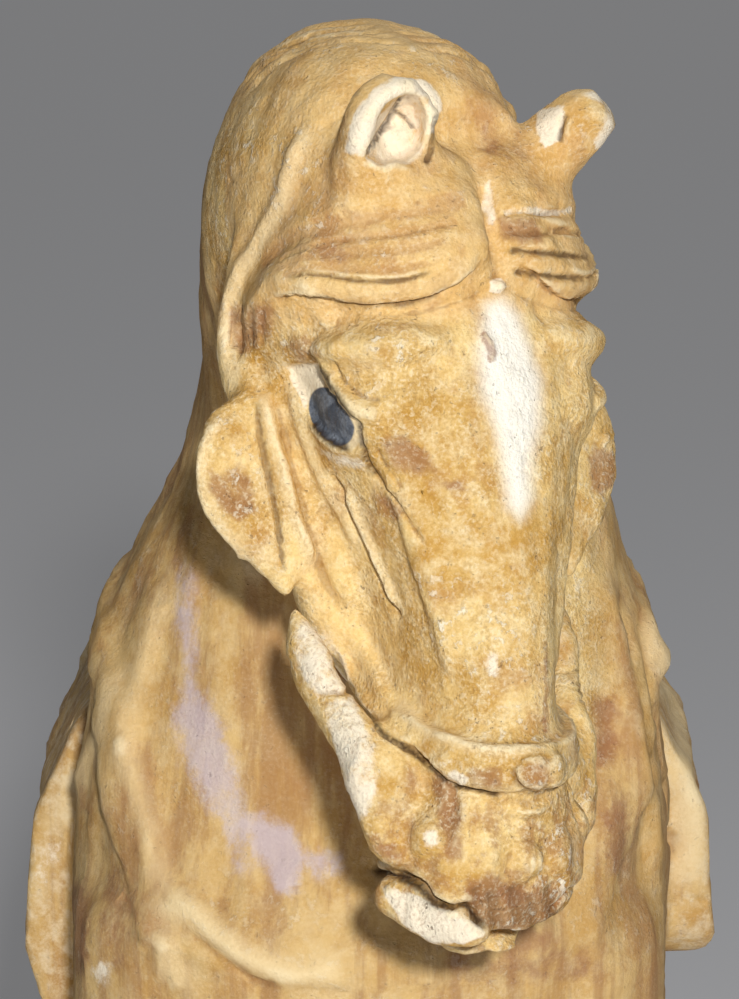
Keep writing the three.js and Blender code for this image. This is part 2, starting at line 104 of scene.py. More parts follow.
FORELOCK_RECESS = [(318, 320), (352, 324), (392, 324), (430, 319), (466, 309)]
FAR_FORELOCK_LINES = [
    [(500, 213), (522, 210), (548, 213), (578, 208)],
    [(500, 230), (530, 231), (560, 230), (588, 228)],
    [(506, 250), (535, 252), (562, 254), (594, 258)],
    [(512, 272), (545, 276), (584, 279)],
]
TEMPLE_LINES = [[(232, 302), (230, 352)], [(241, 300), (239, 356)], [(251, 303), (249, 352)],
                [(262, 306), (260, 346)]]
PARTING = [(484, 182), (487, 214), (494, 252), (497, 288)]
HEADSTALL = [(308, 122), (291, 160), (278, 200), (258, 240), (238, 272), (226, 312), (226, 352), (236, 388)]
EAR_RIM = [
    (352, 160), (357, 138), (367, 114), (381, 97), (398, 86), (414, 84), (427, 93), (433, 110), (429, 136)]
EAR_BOWL = [
    (360, 160), (369, 134), (380, 112), (393, 97), (407, 90), (421, 95), (428, 110), (427, 134), (421, 152),
    (407, 164), (384, 170)]
EAR_CRACK = [(401, 94), (394, 106), (382, 128), (364, 154)]
EAR_CRACK_BRANCH = [(393, 109), (404, 117), (413, 129)]
EAR_SLIT = [(436, 113), (432, 135), (431, 152), (424, 164)]
STUB_CRACK = [(566, 112), (562, 128), (559, 142)]
MOUTH_LINE = [(368, 868), (400, 876), (421, 888), (432, 901), (452, 907), (466, 905), (476, 920), (486, 930)]
LIP_RING = [(512, 846), (506, 866), (511, 881), (522, 888), (532, 881), (538, 862), (534, 844)]
TIP_FURROWS = {"drift": 4, "across": (474, 552, 8), "top": 884, "bottom": 926}
NOSE_CREASE = [(520, 838), (534, 842), (546, 850)]
CHEEKPIECE_NECK = [(314, 697), (330, 691), (352, 692)]
CHEEKPIECE_KNURLS = [
    [(316, 704), (330, 703), (350, 704)],
    [(322, 714), (334, 711), (354, 712)],
    [(326, 725), (340, 721), (360, 720)],
]
LEAF_EDGE = [(226, 414), (207, 434), (200, 460), (201, 492), (213, 518), (238, 549), (262, 588)]
LEAF_INNER = [(256, 398), (262, 440), (270, 480), (278, 520), (282, 556), (284, 574)]
LEAF_RIBS = [[(221, 474), (221, 500)], [(234, 470), (235, 508)], [(246, 474), (246, 510)]]
WORM_MARK = [(481, 332), (488, 342), (492, 352), (489, 363)]
# Lines on the neck, chest and cloth that only the photo's side shows.
SHOULDER_RIDGES = [
    [(166, 575), (152, 626), (132, 690), (122, 745), (136, 792), (152, 852), (168, 900)],
    [(112, 668), (86, 760), (50, 832)],
]
BREAST_BAND = [(160, 926), (176, 902), (205, 925), (250, 958), (300, 974), (345, 964)]
BREAST_EDGE = [(186, 934), (210, 950), (244, 976), (280, 990)]
BREAST_PENDANT = [(152, 930), (168, 960), (184, 990)]
CLOTH_FOLDS = [
    [(655, 620), (680, 730), (690, 830), (685, 890)],
    [(592, 560), (630, 680), (645, 780), (660, 880)],
]
CLOTH_GAPS = [[(640, 600), (655, 700), (668, 800), (672, 870)], [(612, 590), (640, 700), (655, 800)]]

# Strokes: line, height (a groove's is negative), width and reach in millimetres, both sides or one
FORELOCK_STROKES = [
    (FORELOCK_UNDER, -0.8, 0.6, 4, True), (FORELOCK_RECESS, -1.2, 3.0, 9, True),
    *[(line, -1.3, 0.9, 5, False) for line in FAR_FORELOCK_LINES],
    *[(line, -0.7, 0.7, 4, True) for line in TEMPLE_LINES],
    (PARTING, -1.2, 1.6, 6, False),
]
FACE_STROKES = [
    (UPPER_LID, 1.6, 1.8, 7, True), (LID_FOLD, -1.0, 0.6, 4, True), (LOWER_LID, 0.5, 1.0, 4, True),
    (TEAR_LINE, -1.1, 0.5, 4, True), (TEAR_FOLD, -0.8, 0.6, 4, True), (BRIDLE_RIDGE, 2.0, 1.9, 7, True),
    (BRIDLE_GROOVE, -1.8, 1.3, 6, True), (LEAF_INNER, -1.6, 0.8, 5, True), (CHEEK_RIDGE, 1.2, 2.0, 8, True),
    (CHEEK_GROOVE, -1.5, 1.2, 6, True), (FACE_RIDGE, 1.6, 1.3, 6, True), (STRAP_RECESS, -0.7, 1.6, 6, True),
    (NOSEBAND_TOP, 0.5, 1.2, 6, True), (NOSEBAND_EDGE, -1.6, 0.6, 4, True), (BOSS_EDGE, -0.6, 0.8, 4, False),
    (MOUTH_LINE, -2.8, 1.0, 5, True), (LIP_RING, -0.6, 0.7, 4, False), (NOSE_CREASE, -0.5, 0.5, 4, False),
    (WORM_MARK, 0.7, 0.9, 4, False),
]
TACK_STROKES = [
    (HEADSTALL, 1.7, 2.4, 7, True), (LEAF_EDGE, 0.9, 1.3, 5, True),
    *[(line, -0.5, 0.8, 4, True) for line in LEAF_RIBS],
    (CHEEKPIECE_NECK, -1.0, 0.7, 4, True),
    *[(line, -0.7, 0.6, 4, True) for line in CHEEKPIECE_KNURLS],
    (EAR_RIM, 1.0, 1.8, 6, False),
]
EAR_STROKES = [
    (EAR_CRACK, -1.0, 0.7, 4, False), (EAR_CRACK_BRANCH, -0.6, 0.5, 4, False),
    (EAR_SLIT, -1.2, 0.6, 4, False), (STUB_CRACK, -1.2, 0.7, 4, False),
]
FOLD_STROKES = [
    *[(line, 1.2, 3.6, 12, False) for line in SHOULDER_RIDGES],
    (BREAST_BAND, 1.5, 2.8, 9, False), (BREAST_EDGE, -1.6, 1.4, 7, False),
    (BREAST_PENDANT, 1.2, 3.2, 9, False),
    *[(line, 1.8, 4.5, 14, False) for line in CLOTH_FOLDS],
    *[(line, -2.2, 2.2, 8, False) for line in CLOTH_GAPS],
]

# Raised fields in photo pixels: outline, height and width of the sloping edge in millimetres
NOSEBAND = [
    (388, 702), (408, 712), (430, 723), (470, 738), (510, 743), (552, 741), (558, 765), (548, 790),
    (520, 793), (502, 795), (480, 790), (459, 787), (446, 780), (432, 768), (418, 756), (396, 742),
    (386, 732)]
BOSS = [(512, 766), (522, 754), (540, 752), (554, 764), (552, 782), (540, 792), (524, 790), (514, 780)]
CHEEK_WEB = [(332, 644), (350, 650), (368, 684), (384, 712), (376, 722), (362, 708), (348, 684)]
FORELOCK_END = [
    (318, 222), (284, 240), (256, 262), (238, 290), (232, 322), (244, 340), (266, 330), (290, 310),
    (320, 296), (340, 262)]
RAISED = [(NOSEBAND, 1.2, 1.8), (BOSS, 1.0, 1.4), (CHEEK_WEB, 2.4, 2.6), (FORELOCK_END, 3.0, 7.0)]

# Gaps of the solid that are filled with clay, in photo pixels: line, places on the skin beside the line's
# two ends, the filling's radius and depth under that skin in millimetres, and whether both sides have it
PLUGS = [
    ([(390, 894), (412, 909), (436, 925), (472, 931)], [(396, 886), (470, 905)], 4.2, 2.2, False),
    ([(250, 358), (252, 392)], [(264, 362), (264, 392)], 3.5, 3.0, True),
    ([(394, 756), (402, 812)], [(420, 762), (418, 812)], 4.5, 4.0, True),
]

# Fields in photo pixels that are worked smooth before the lines are cut: outline and number of passes
LOWER_LIP = [
    (382, 884), (418, 896), (436, 908), (460, 914), (478, 926), (483, 934), (460, 944), (430, 942),
    (404, 922), (388, 900)]
MUZZLE_CORNER = [(382, 742), (412, 748), (420, 790), (408, 824), (388, 818), (378, 780)]
SOFTENED = [(LOWER_LIP, 10), (MUZZLE_CORNER, 90)]

# Lumps and dents in photo pixels: centre, half sizes, turn in degrees, and height in millimetres
HEAD_LUMPS = [
    ((392, 350), (66, 34), 8, 1.8), ((572, 330), (30, 30), 0, 1.4), ((498, 286), (10, 9), 0, 1.1),
    ((522, 810), (22, 9), 0, 1.3), ((523, 862), (15, 26), 0, 2.0), ((424, 836), (24, 30), 0, 2.2),
    ((450, 815), (12, 42), -8, -1.9), ((408, 784), (30, 40), -8, 1.2), ((390, 850), (18, 12), 10, -0.8),
    ((560, 862), (14, 30), 0, 1.4), ((486, 846), (18, 22), 0, 1.2), ((320, 520), (12, 60), -20, -0.8),
    ((430, 560), (40, 80), -14, 0.5), ((232, 440), (30, 26), 0, 0.9), ((222, 456), (10, 9), 0, 0.9),
    ((248, 532), (22, 24), 0, 0.8), ((320, 658), (20, 34), -18, 0.9), ((358, 762), (16, 50), -14, 0.9),
    ((305, 344), (22, 18), 0, 1.0), ((440, 760), (30, 10), 35, 0.7),
]
BODY_LUMPS = [
    ((401, 136), (22, 21), 0, 3.0), ((398, 168), (24, 9), -8, 1.2), ((598, 118), (16, 20), 0, 0.6),
    ((123, 745), (12, 20), -8, 1.6), ((163, 955), (14, 36), -10, 1.8), ((95, 920), (40, 60), 0, 0.8),
    ((500, 80), (20, 16), 30, 1.2), ((528, 112), (12, 16), 20, 1.0),
]

# Painted fields as the photo shows them: outline in photo pixels, strength and softness in millimetres
BLAZE = [
    (486, 304), (502, 298), (518, 314), (528, 344), (540, 378), (539, 420), (531, 462), (531, 500),
    (521, 518), (508, 506), (502, 466), (494, 428), (482, 392), (478, 350)]
PAIRED_PALE_FIELDS = [
    ([(284, 366), (318, 362), (326, 384), (310, 398), (304, 410), (296, 392)], 0.75, 0.6),
    ([(318, 449), (345, 453), (362, 460), (366, 472), (340, 466)], 0.6, 1.4),
]
PALE_FIELDS = [
    (LOWER_LIP, 1.0, 0.8),
    ([(296, 620), (310, 618), (336, 642), (352, 690), (318, 700), (298, 672), (293, 640)], 0.6, 1.6),
    ([(318, 704), (352, 694), (372, 740), (378, 780), (372, 805), (358, 822), (346, 800), (338, 758)],
     0.75, 1.6),
    ([(538, 108), (566, 104), (562, 138), (545, 146), (537, 128)], 0.9, 0.9),
    ([(574, 93), (600, 91), (615, 110), (612, 140), (600, 152), (588, 140), (603, 126), (604, 104)],
     0.7, 0.9),
    ([(490, 280), (500, 277), (506, 286), (500, 294), (490, 292)], 1.0, 0.7),
    ([(484, 176), (491, 180), (496, 226), (488, 224), (480, 208)], 0.7, 0.9),
    ([(452, 766), (470, 780), (462, 787), (446, 776)], 0.9, 0.9),
    ([(422, 832), (436, 830), (438, 846), (426, 848)], 0.9, 1.0),
    ([(486, 648), (498, 654), (496, 678), (487, 672)], 0.8, 1.0),
    ([(36, 850), (50, 822), (62, 836), (46, 880), (30, 884)], 0.7, 2.4),
    ([(90, 962), (102, 956), (112, 970), (104, 986), (92, 980)], 0.7, 2.0),
    ([(116, 738), (128, 732), (134, 752), (124, 762)], 0.3, 2.4),
]
PALE_LINES = [
    (EAR_RIM, 4.2, 1.0), (EAR_RIM[1:6], 3.2, 1.0), (FAR_FORELOCK_LINES[0], 1.6, 0.6)]
# Cream along raised straps and ridges: partly their paler paint, partly painted highlight on the ridges' tops
PALER_AND_HIGHLIGHT_LINES = [
    (HEADSTALL, 3.6, 0.9), (LEAF_EDGE, 2.4, 0.9), (FACE_RIDGE, 2.2, 0.9), (BRIDLE_RIDGE, 2.4, 0.9),
    (CHEEK_RIDGE, 1.8, 0.6), (NOSEBAND_TOP, 2.6, 1.0), (SHOULDER_RIDGES[0], 4.5, 0.55),
    (SHOULDER_RIDGES[1], 5.0, 0.7), (CLOTH_FOLDS[0], 7.0, 1.0), (FORELOCK_ROLL, 2.0, 0.25),
    (BREAST_BAND, 4.5, 1.2), (BREAST_PENDANT, 5.0, 0.8),
]
# Near-black lines: painted shadow along the lid, noseband edge, mouth, forelock and other deep grooves, and
# the ears' real cracks
CRACK_AND_SHADE_LINES = [
    (NOSEBAND_EDGE, 1.1, 0.95), (MOUTH_LINE, 1.8, 1.0), (EYE_OPENING[2:9], 1.1, 1.0),
    (EYE_OPENING[11:15], 1.0, 1.0), (TEAR_LINE[:4], 0.9, 0.8), (FORELOCK_EDGE[2:8], 0.9, 0.6),
    (FORELOCK_CREASE, 0.9, 0.6), (BOSS_EDGE, 0.8, 0.3), (LEAF_INNER, 0.9, 0.5), (EAR_CRACK, 0.9, 0.9),
    (EAR_CRACK_BRANCH, 0.7, 0.8), (EAR_SLIT, 0.9, 0.8), (STUB_CRACK, 0.9, 0.8),
    (FAR_FORELOCK_LINES[2], 1.0, 0.7), (FAR_FORELOCK_LINES[3], 1.0, 0.8),
]
PAIRED_STAIN_FIELDS = [
    ([(208, 468), (222, 470), (240, 462), (252, 480), (254, 510), (240, 520), (222, 512), (207, 492)],
     0.9, 1.6),
    ([(228, 310), (262, 300), (280, 305), (262, 345), (240, 352), (228, 338)], 0.8, 2.6),
]
STAIN_AND_SHADOW_FIELDS = [
    # painted shadow: brown over the chin below the muzzle's tip
    ([(488, 934), (520, 926), (545, 922), (545, 948), (500, 952)], 1.2, 1.5),
    ([(60, 905), (66, 886), (82, 880), (88, 900), (86, 930), (84, 960), (80, 976), (70, 960), (62, 930)],
     1.1, 3.0),
    ([(104, 880), (118, 862), (126, 900), (130, 950), (124, 972), (110, 955), (104, 920)], 0.9, 3.4),
    ([(466, 882), (490, 872), (505, 886), (525, 894), (560, 886), (566, 900), (550, 918), (520, 929),
      (488, 927), (474, 914)], 1.3, 3.0),
    ([(436, 768), (452, 780), (462, 820), (462, 858), (446, 862), (440, 820), (432, 785)], 1.0, 1.8),
    ([(500, 218), (538, 216), (544, 240), (520, 246), (498, 238)], 0.9, 1.6),
    ([(378, 440), (402, 436), (430, 455), (436, 470), (410, 478), (388, 466)], 0.85, 2.0),
    ([(366, 494), (384, 492), (402, 512), (396, 520), (376, 512)], 0.7, 1.8),
    ([(288, 330), (318, 338), (322, 360), (302, 362), (282, 350)], 0.75, 2.6),
    ([(516, 764), (546, 758), (552, 780), (536, 792), (520, 786)], 0.8, 1.6),
    ([(470, 768), (500, 766), (502, 788), (480, 790), (464, 780)], 0.75, 1.4),
    ([(404, 764), (420, 766), (418, 792), (406, 794)], 0.7, 2.0),
    ([(380, 846), (396, 844), (402, 858), (386, 862)], 0.8, 1.8),
    ([(300, 246), (340, 244), (352, 256), (330, 264), (300, 260)], 0.6, 2.0),
    ([(440, 480), (460, 482), (464, 490), (446, 490)], 0.7, 1.2),
    ([(470, 120), (520, 130), (526, 160), (490, 156)], 0.55, 3.0),
    ([(80, 786), (92, 790), (92, 812), (80, 808)], 0.8, 2.4),
    ([(592, 700), (612, 696), (616, 760), (598, 770)], 0.9, 2.6),
    ([(602, 800), (626, 800), (628, 870), (610, 884)], 0.9, 2.6),
    # painted shadow: brown on the chest under the chin
    ([(440, 950), (600, 945), (600, 980), (470, 985)], 0.7, 5.0),
    ([(344, 350), (392, 344), (398, 366), (360, 372)], 0.45, 3.0),
]
STAIN_LINES = [(WORM_MARK, 1.3, 1.3), ([(545, 640), (546, 690), (545, 735)], 1.6, 0.7)]
LILAC_FIELDS = [
    ([(178, 560), (192, 560), (196, 620), (196, 680), (184, 690), (176, 630)], 0.75, 3.0),
    ([(172, 716), (186, 692), (214, 700), (220, 740), (236, 762), (240, 800), (232, 830), (206, 806),
      (186, 770)], 0.9, 3.4),
    ([(226, 760), (244, 800), (250, 870), (236, 872), (222, 820)], 0.85, 3.0),
    ([(252, 816), (280, 825), (298, 842), (300, 880), (290, 896), (276, 886), (266, 860), (250, 850)],
     1.3, 2.6),
    ([(304, 856), (345, 850), (345, 874), (312, 878)], 0.8, 2.6),
]


# Stage, in metres
FLOOR_HALF = 12.0
FLOOR_COLOUR = (0.8, 0.8, 0.82, 1)
WORLD = {"colour": (0.97, 0.98, 1.0, 1), "strength": 0.03}
LIGHT_AIM = (0, -0.12, 0.40)
LIGHTS = [
    {"name": "key", "kind": "AREA", "at": (0.124, -1.59, 0.95), "size": 0.08, "power": 24},
    {"name": "fill", "kind": "AREA", "at": (-1.5, -1.0, 1.0), "size": 1.2, "power": 0.1},
    {"name": "rear", "kind": "SUN", "at": (0.2, 1.6, 1.5), "size": 0.5, "power": 1.05},
]


def vector(values):
    return np.array(values, float)


def head_matrix():
    """The head's own axes: left, back and up."""
    turn = (Matrix.Rotation(math.radians(HEAD["yaw"]), 3, "Z")
            @ Matrix.Rotation(math.radians(HEAD["pitch"]), 3, "X")
            @ Matrix.Rotation(math.radians(HEAD["roll"]), 3, "Y"))
    return np.array(turn)


def head_share(points):
    """1 on the head, 0 on the body: the head's box without the chest behind the muzzle."""
    behind = smoothstep(CHEST["front"], CHEST["front"] + CHEST["fade"], points[:, 1])
    below = 1 - smoothstep(CHEST["top"], CHEST["top"] + CHEST["fade"], points[:, 2])
    return inside_box(to_head(points), HEAD_BOX) * (1 - behind * below)


HEAD_AXES = head_matrix()
HEAD_AT = vector(HEAD["poll"])
HEAD_FLIP = vector((-1, 1, 1))


def to_head(points):
    return (points - HEAD_AT) @ HEAD_AXES


def from_head(points):
    return points @ HEAD_AXES.T + HEAD_AT


def mirrored(place):
    """A place's mirror image in the head."""
    return from_head(to_head(place[None]) * HEAD_FLIP)[0]


def smoothstep(low, high, values):
    share = np.clip((values - low) / (high - low), 0, 1)
    return share * share * (3 - 2 * share)


def inside_box(points, box):
    """1 inside a box, falling to 0 over the box's margin outside it."""
    low, high, margin = vector(box["low"]), vector(box["high"]), box["margin"]
    outside = np.maximum(np.maximum(low - points, points - high), 0).max(axis=1)
    return 1 - smoothstep(0, margin, outside)


def noise(points, size, seed):
    """Smooth noise from -1 to 1 that changes over about one size."""
    cell = np.floor(points / size).astype(np.int64)
    part = points / size - cell
    part = part * part * (3 - 2 * part)
    total = np.zeros(len(points))
    for corner in range(8):
        step = np.array([corner & 1, corner >> 1 & 1, corner >> 2 & 1])
        key = (cell + step) @ np.array([73856093, 19349663, 83492791]) + seed * 7919
        key = ((key ^ (key >> 13)) * 1274126177) & 0xFFFFFFFF
        level = ((key ^ (key >> 15)) % 65536) / 32767.5 - 1
        total += np.prod(np.where(step == 1, part, 1 - part), axis=1) * level
    return total


def curve(points, spacing):
    """A smooth line through the points, as places about one spacing apart."""
    knots = vector(points)
    knots = np.vstack([2 * knots[0] - knots[1], knots, 2 * knots[-1] - knots[-2]])
    line = []
    for i in range(1, len(knots) - 2):
        before, start, end, after = knots[i - 1:i + 3]
        count = max(1, int(np.linalg.norm(end - start) / spacing))
        for t in np.arange(count) / count:
            line.append(0.5 * (2 * start + (end - before) * t
                               + (2 * before - 5 * start + 4 * end - after) * t ** 2
                               + (3 * start - before - 3 * end + after) * t ** 3))
    line.append(knots[-2])
    return np.array(line)


def between(first, second, share, count=14):
    """A line of pixels between two lines, at a share of the way from the first to the second."""
    def even(points):
        line = curve(points, 2)
        return line[np.linspace(0, len(line) - 1, count).astype(int)]
    return even(first) * (1 - share) + even(second) * share


def photo_axes():
    """The camera's place and its right, up and back directions."""
    rise = math.radians(CAMERA["elevation"])
    back = vector((0, -math.cos(rise), math.sin(rise)))
    right = vector((1, 0, 0))
    up = np.cross(back, right)
    return vector(CAMERA["target"]) + back * CAMERA["distance"], right, up, back


def photo_scale():
    return CAMERA["lens"] / CAMERA["sensor"] * max(PHOTO.values())


def to_photo(points):
    """Photo pixels of places, and their depths from the camera."""
    eye, right, up, back = photo_axes()
    gap = points - eye
    depth = -(gap @ back)
    across = (PHOTO["width"] - 1) / 2 + photo_scale() * (gap @ right) / depth
    down = (PHOTO["height"] - 1) / 2 - photo_scale() * (gap @ up) / depth
    return np.stack([across, down], axis=1), depth


def sight_line(pixel):
    """The camera's place and the direction in which it sees a photo pixel, one millimetre deep."""
    eye, right, up, back = photo_axes()
    across = (pixel[0] - (PHOTO["width"] - 1) / 2) / photo_scale()
    down = (pixel[1] - (PHOTO["height"] - 1) / 2) / photo_scale()
    return eye, right * across - up * down - back


def outline_gap(pixels, outline):
    """Distance in pixels to a closed outline, negative inside it."""
    distance = np.full(len(pixels), np.inf)
    inside = np.zeros(len(pixels), bool)
    x, y = pixels.T
    for start, end in zip(vector(outline), np.roll(vector(outline), -1, axis=0)):
        run = end - start
        t = np.clip((pixels - start) @ run / (run @ run), 0, 1)
        distance = np.minimum(distance, np.linalg.norm(pixels - start - t[:, None] * run, axis=1))
        crosses = (start[1] > y) != (end[1] > y)
        slope = run[0] / run[1] if run[1] else 0
        inside ^= crosses & (x < start[0] + (y - start[1]) * slope)
    return np.where(inside, -distance, distance)


def oval_reach(pixels, centre, half, turn):
    """How far pixels are from an oval's centre, 1 on its edge."""
    angle = math.radians(turn)
    turned = (pixels - vector(centre)) @ vector([[math.cos(angle), math.sin(angle)],
                                                 [-math.sin(angle), math.cos(angle)]])
    return np.linalg.norm(turned / vector(half), axis=1)


def neighbour_sum(column, first, second):
    """For each vertex, the sum of a value over the vertices that share an edge with it."""
    count = len(column)
    return np.bincount(first, column[second], count) + np.bincount(second, column[first], count)


def swells(points, rows):
    """Layers of noise: height, size and seed."""
    return sum(height * noise(points, size, seed) for height, size, seed in rows)


class Clay:
    """A skin held as arrays in millimetres, worked with strokes along lines on it."""

    PAINTS = ("pale", "light", "strand", "crack_and_shade", "muzzle", "blaze", "stain_and_shadow", "lilac", "eyeball", "hair",
              "cloth", "body")

    def __init__(self, mesh):
        self.thing = bpy.data.objects.new("clay", mesh)
        bpy.context.scene.collection.objects.link(self.thing)
        self.mesh = mesh
        self.gather()

    def gather(self):
        count = len(self.mesh.vertices)
        self.at = np.empty(count * 3)
        self.mesh.vertices.foreach_get("co", self.at)
        self.at = self.at.reshape(-1, 3)
        self.pairs = np.empty(len(self.mesh.edges) * 2, np.int32)
        self.mesh.edges.foreach_get("vertices", self.pairs)
        self.pairs = self.pairs.reshape(-1, 2)
        self.shares = np.bincount(self.pairs.ravel(), minlength=count)
        self.paint = {name: np.zeros(count) for name in self.PAINTS}
        self.settle()

    def settle(self):
        """Writes the places back and renews the normals and the search tree."""
        self.mesh.vertices.foreach_set("co", self.at.astype(np.float32).ravel())
        self.mesh.update()
        self.facing = np.empty(len(self.at) * 3, np.float32)
        self.mesh.vertex_normals.foreach_get("vector", self.facing)
        self.facing = self.facing.reshape(-1, 3).astype(float)
        self.thing.data.update_tag()
        bpy.context.view_layer.update()
        self.tree = BVHTree.FromObject(self.thing, bpy.context.evaluated_depsgraph_get())

    def mean(self, values):
        """Each vertex's average of its neighbours."""
        first, second = self.pairs.T
        columns = [neighbour_sum(column, first, second) for column in values.T]
        return np.stack(columns, axis=1) / self.shares[:, None]

    def smooth(self, times, weight):
        """Draws the vertices that have any weight towards the average of their neighbours."""
        around = self.pairs[(weight[self.pairs] > 0).any(axis=1)]
        used, ends_of = np.unique(around, return_inverse=True)
        first, second = ends_of.reshape(-1, 2).T
        neighbours = self.shares[used]
        pull = 0.5 * weight[used]
        columns = self.at[used].T.copy()
        for _ in range(times):
            for column in columns:
                column += (neighbour_sum(column, first, second) / neighbours - column) * pull
        self.at[used] = columns.T

    def seen(self, mirror):
        """Photo pixels, depths and facing to the camera, of the skin or of its mirror image in the head."""
        eye = photo_axes()[0]
        places, facing = self.at, self.facing
        if mirror:
            places = from_head(to_head(places) * HEAD_FLIP)
            facing = (facing @ HEAD_AXES * HEAD_FLIP) @ HEAD_AXES.T
        pixels, depth = to_photo(places)
        return pixels, depth, ((eye - places) * facing).sum(axis=1) > 0

    def trace(self, pixels):
        """A line of photo pixels, laid on the skin that the camera sees there."""
        line = []
        for pixel in curve(pixels, TRACE_STEP):
            eye, sight = sight_line(pixel)
            hit = self.tree.ray_cast(Vector(eye), Vector(sight))
            if hit[0] is not None:
                line.append(hit[0])
        return np.array(line)

    def place(self, pixel):
        line = self.trace([pixel, (pixel[0] + 1, pixel[1])])
        return line[0] if len(line) else None

    def rest_on(self, points):
        """The nearest places on the skin."""
        return np.array([self.tree.find_nearest(Vector(p))[0] for p in points])

    def near(self, line, reach):
        """The vertices within reach of a line: index, distance, share along it, distance to its left."""
        eye = photo_axes()[0]
        low, high = line.min(axis=0) - reach, line.max(axis=0) + reach
        index = np.flatnonzero(((self.at > low) & (self.at < high)).all(axis=1))
        points = self.at[index]
        distance = np.full(len(index), np.inf)
        share = np.zeros(len(index))
        side = np.zeros(len(index))
        for i in range(len(line) - 1):
            start, run = line[i], line[i + 1] - line[i]
            t = np.clip((points - start) @ run / max(run @ run, 1e-9), 0, 1)
            gap = points - start - t[:, None] * run
            length = np.linalg.norm(gap, axis=1)
            closer = length < distance
            across = np.cross(eye - start, run)
            distance[closer] = length[closer]
            share[closer] = ((i + t) / (len(line) - 1))[closer]
            side[closer] = np.sign(gap @ across)[closer]
        within = distance < reach
        return index[within], distance[within], share[within], (side * distance)[within]

    def stroke(self, line, reach, profile):
        """Moves the skin out along its normals by profile(distance, share, signed distance)."""
        if len(line) < 2:
            return
        index, distance, share, side = self.near(line, reach)
        self.at[index] += self.facing[index] * profile(distance, share, side)[:, None]

    def strokes(self, pixels, reach, profile, mirror=True):
        """A stroke along photo pixels, and its mirror image on the head's other side."""
        line = self.trace(pixels)
        self.stroke(line, reach, profile)
        if mirror and len(line) > 1:
            other = self.rest_on(from_head(to_head(line) * HEAD_FLIP))
            self.stroke(other, reach, lambda distance, share, side: profile(distance, share, -side))

    def work(self, rows):
        """Works a table of strokes in turn, then renews the normals."""
        for pixels, height, width, reach, mirror in rows:
            self.strokes(pixels, reach, bead(height, width), mirror)
        self.settle()

    def lumps(self, rows, mirror):
        """Raises or dents ovals that the camera sees, and their mirror images."""
        levels = [self.place(row[0]) for row in rows]
        for flipped in ((False, True) if mirror else (False,)):
            pixels, depth, towards = self.seen(flipped)
            for (centre, half, turn, height), level in zip(rows, levels):
                if level is None:
                    continue
                close = towards & (np.abs(depth - to_photo(level[None])[1]) < DEPTH_REACH["lump"])
                reach = np.clip(oval_reach(pixels, centre, half, turn), 0, 1)
                lift = height * (1 - reach ** 2) ** 2 * close
                self.at += self.facing * lift[:, None]

    def gaps(self, outline, mirror):
        """Millimetres from the skin in view to an outline of photo pixels, negative inside it."""
        outline = vector(outline)
        pixels, depth, towards = self.seen(mirror)
        level = to_photo(self.place(outline.mean(axis=0))[None])[1]
        low, high = outline.min(axis=0) - OUTLINE_MARGIN, outline.max(axis=0) + OUTLINE_MARGIN
        around = ((pixels > low) & (pixels < high)).all(axis=1)
        near = towards & around & (np.abs(depth - level) < DEPTH_REACH["outline"])
        gap = np.full(len(depth), np.inf)
        gap[near] = outline_gap(pixels[near], outline) * depth[near] / photo_scale()
        return gap

    def plate(self, outline, height, edge):
        """Raises the skin inside an outline, and inside its mirror image, over a sloping edge."""
        share = np.zeros(len(self.at))
        for mirror in (False, True):
            share = np.maximum(share, 1 - smoothstep(-edge, 0, self.gaps(outline, mirror)))
        self.at += self.facing * (height * share)[:, None]
        self.settle()

    def soften(self, outline, times):
        """Smooths the skin inside an outline and its mirror image."""
        for mirror in (False, True):
            self.smooth(times, 1 - smoothstep(-1.5, 1.5, self.gaps(outline, mirror)))
        self.settle()

    def bowl(self, outline, depth, edge):
        """Hollows the skin inside an outline, away from the camera."""
        away = self.at - photo_axes()[0]
        away /= np.linalg.norm(away, axis=1)[:, None]
        share = 1 - smoothstep(-edge, 0, self.gaps(outline, False))
        self.at += away * (depth * share)[:, None]
        self.settle()

    def fields(self, name, rows, mirror):
        """Paints inside outlines, and inside their mirror images on the head."""
        for outline, amount, soft in rows:
            for flipped in ((False, True) if mirror else (False,)):
                share = 1 - smoothstep(-soft, soft, self.gaps(outline, flipped))
                self.paint[name] = np.maximum(self.paint[name], amount * share)

    def brush(self, name, rows):
        """Paints along lines of photo pixels, fading out over each one's reach."""
        for pixels, reach, amount in rows:
            index, distance, share, _ = self.near(self.trace(pixels), reach)
            level = amount * (1 - smoothstep(0.3 * reach, reach, distance)) * ends(share, 0.05)
            self.paint[name][index] = np.maximum(self.paint[name][index], level)


def ends(share, fade=0.12):
    """Fades a stroke in and out at its ends."""
    return smoothstep(0, fade, share) * smoothstep(0, fade, 1 - share)


def bead(height, width):
    """A rounded ridge along a line, or with a negative height a groove."""
    return lambda distance, share, side: height * np.exp(-(distance / width) ** 2) * ends(share)


def step(height, drop, reach):
    """Raises the skin to the left of a line and lowers it to the right, with a sharp edge between."""
    def profile(distance, share, side):
        lift = np.where(side > 0, height, -drop)
        return lift * smoothstep(0, 0.5, distance) * np.exp(-distance / reach) * ends(share)
    return profile


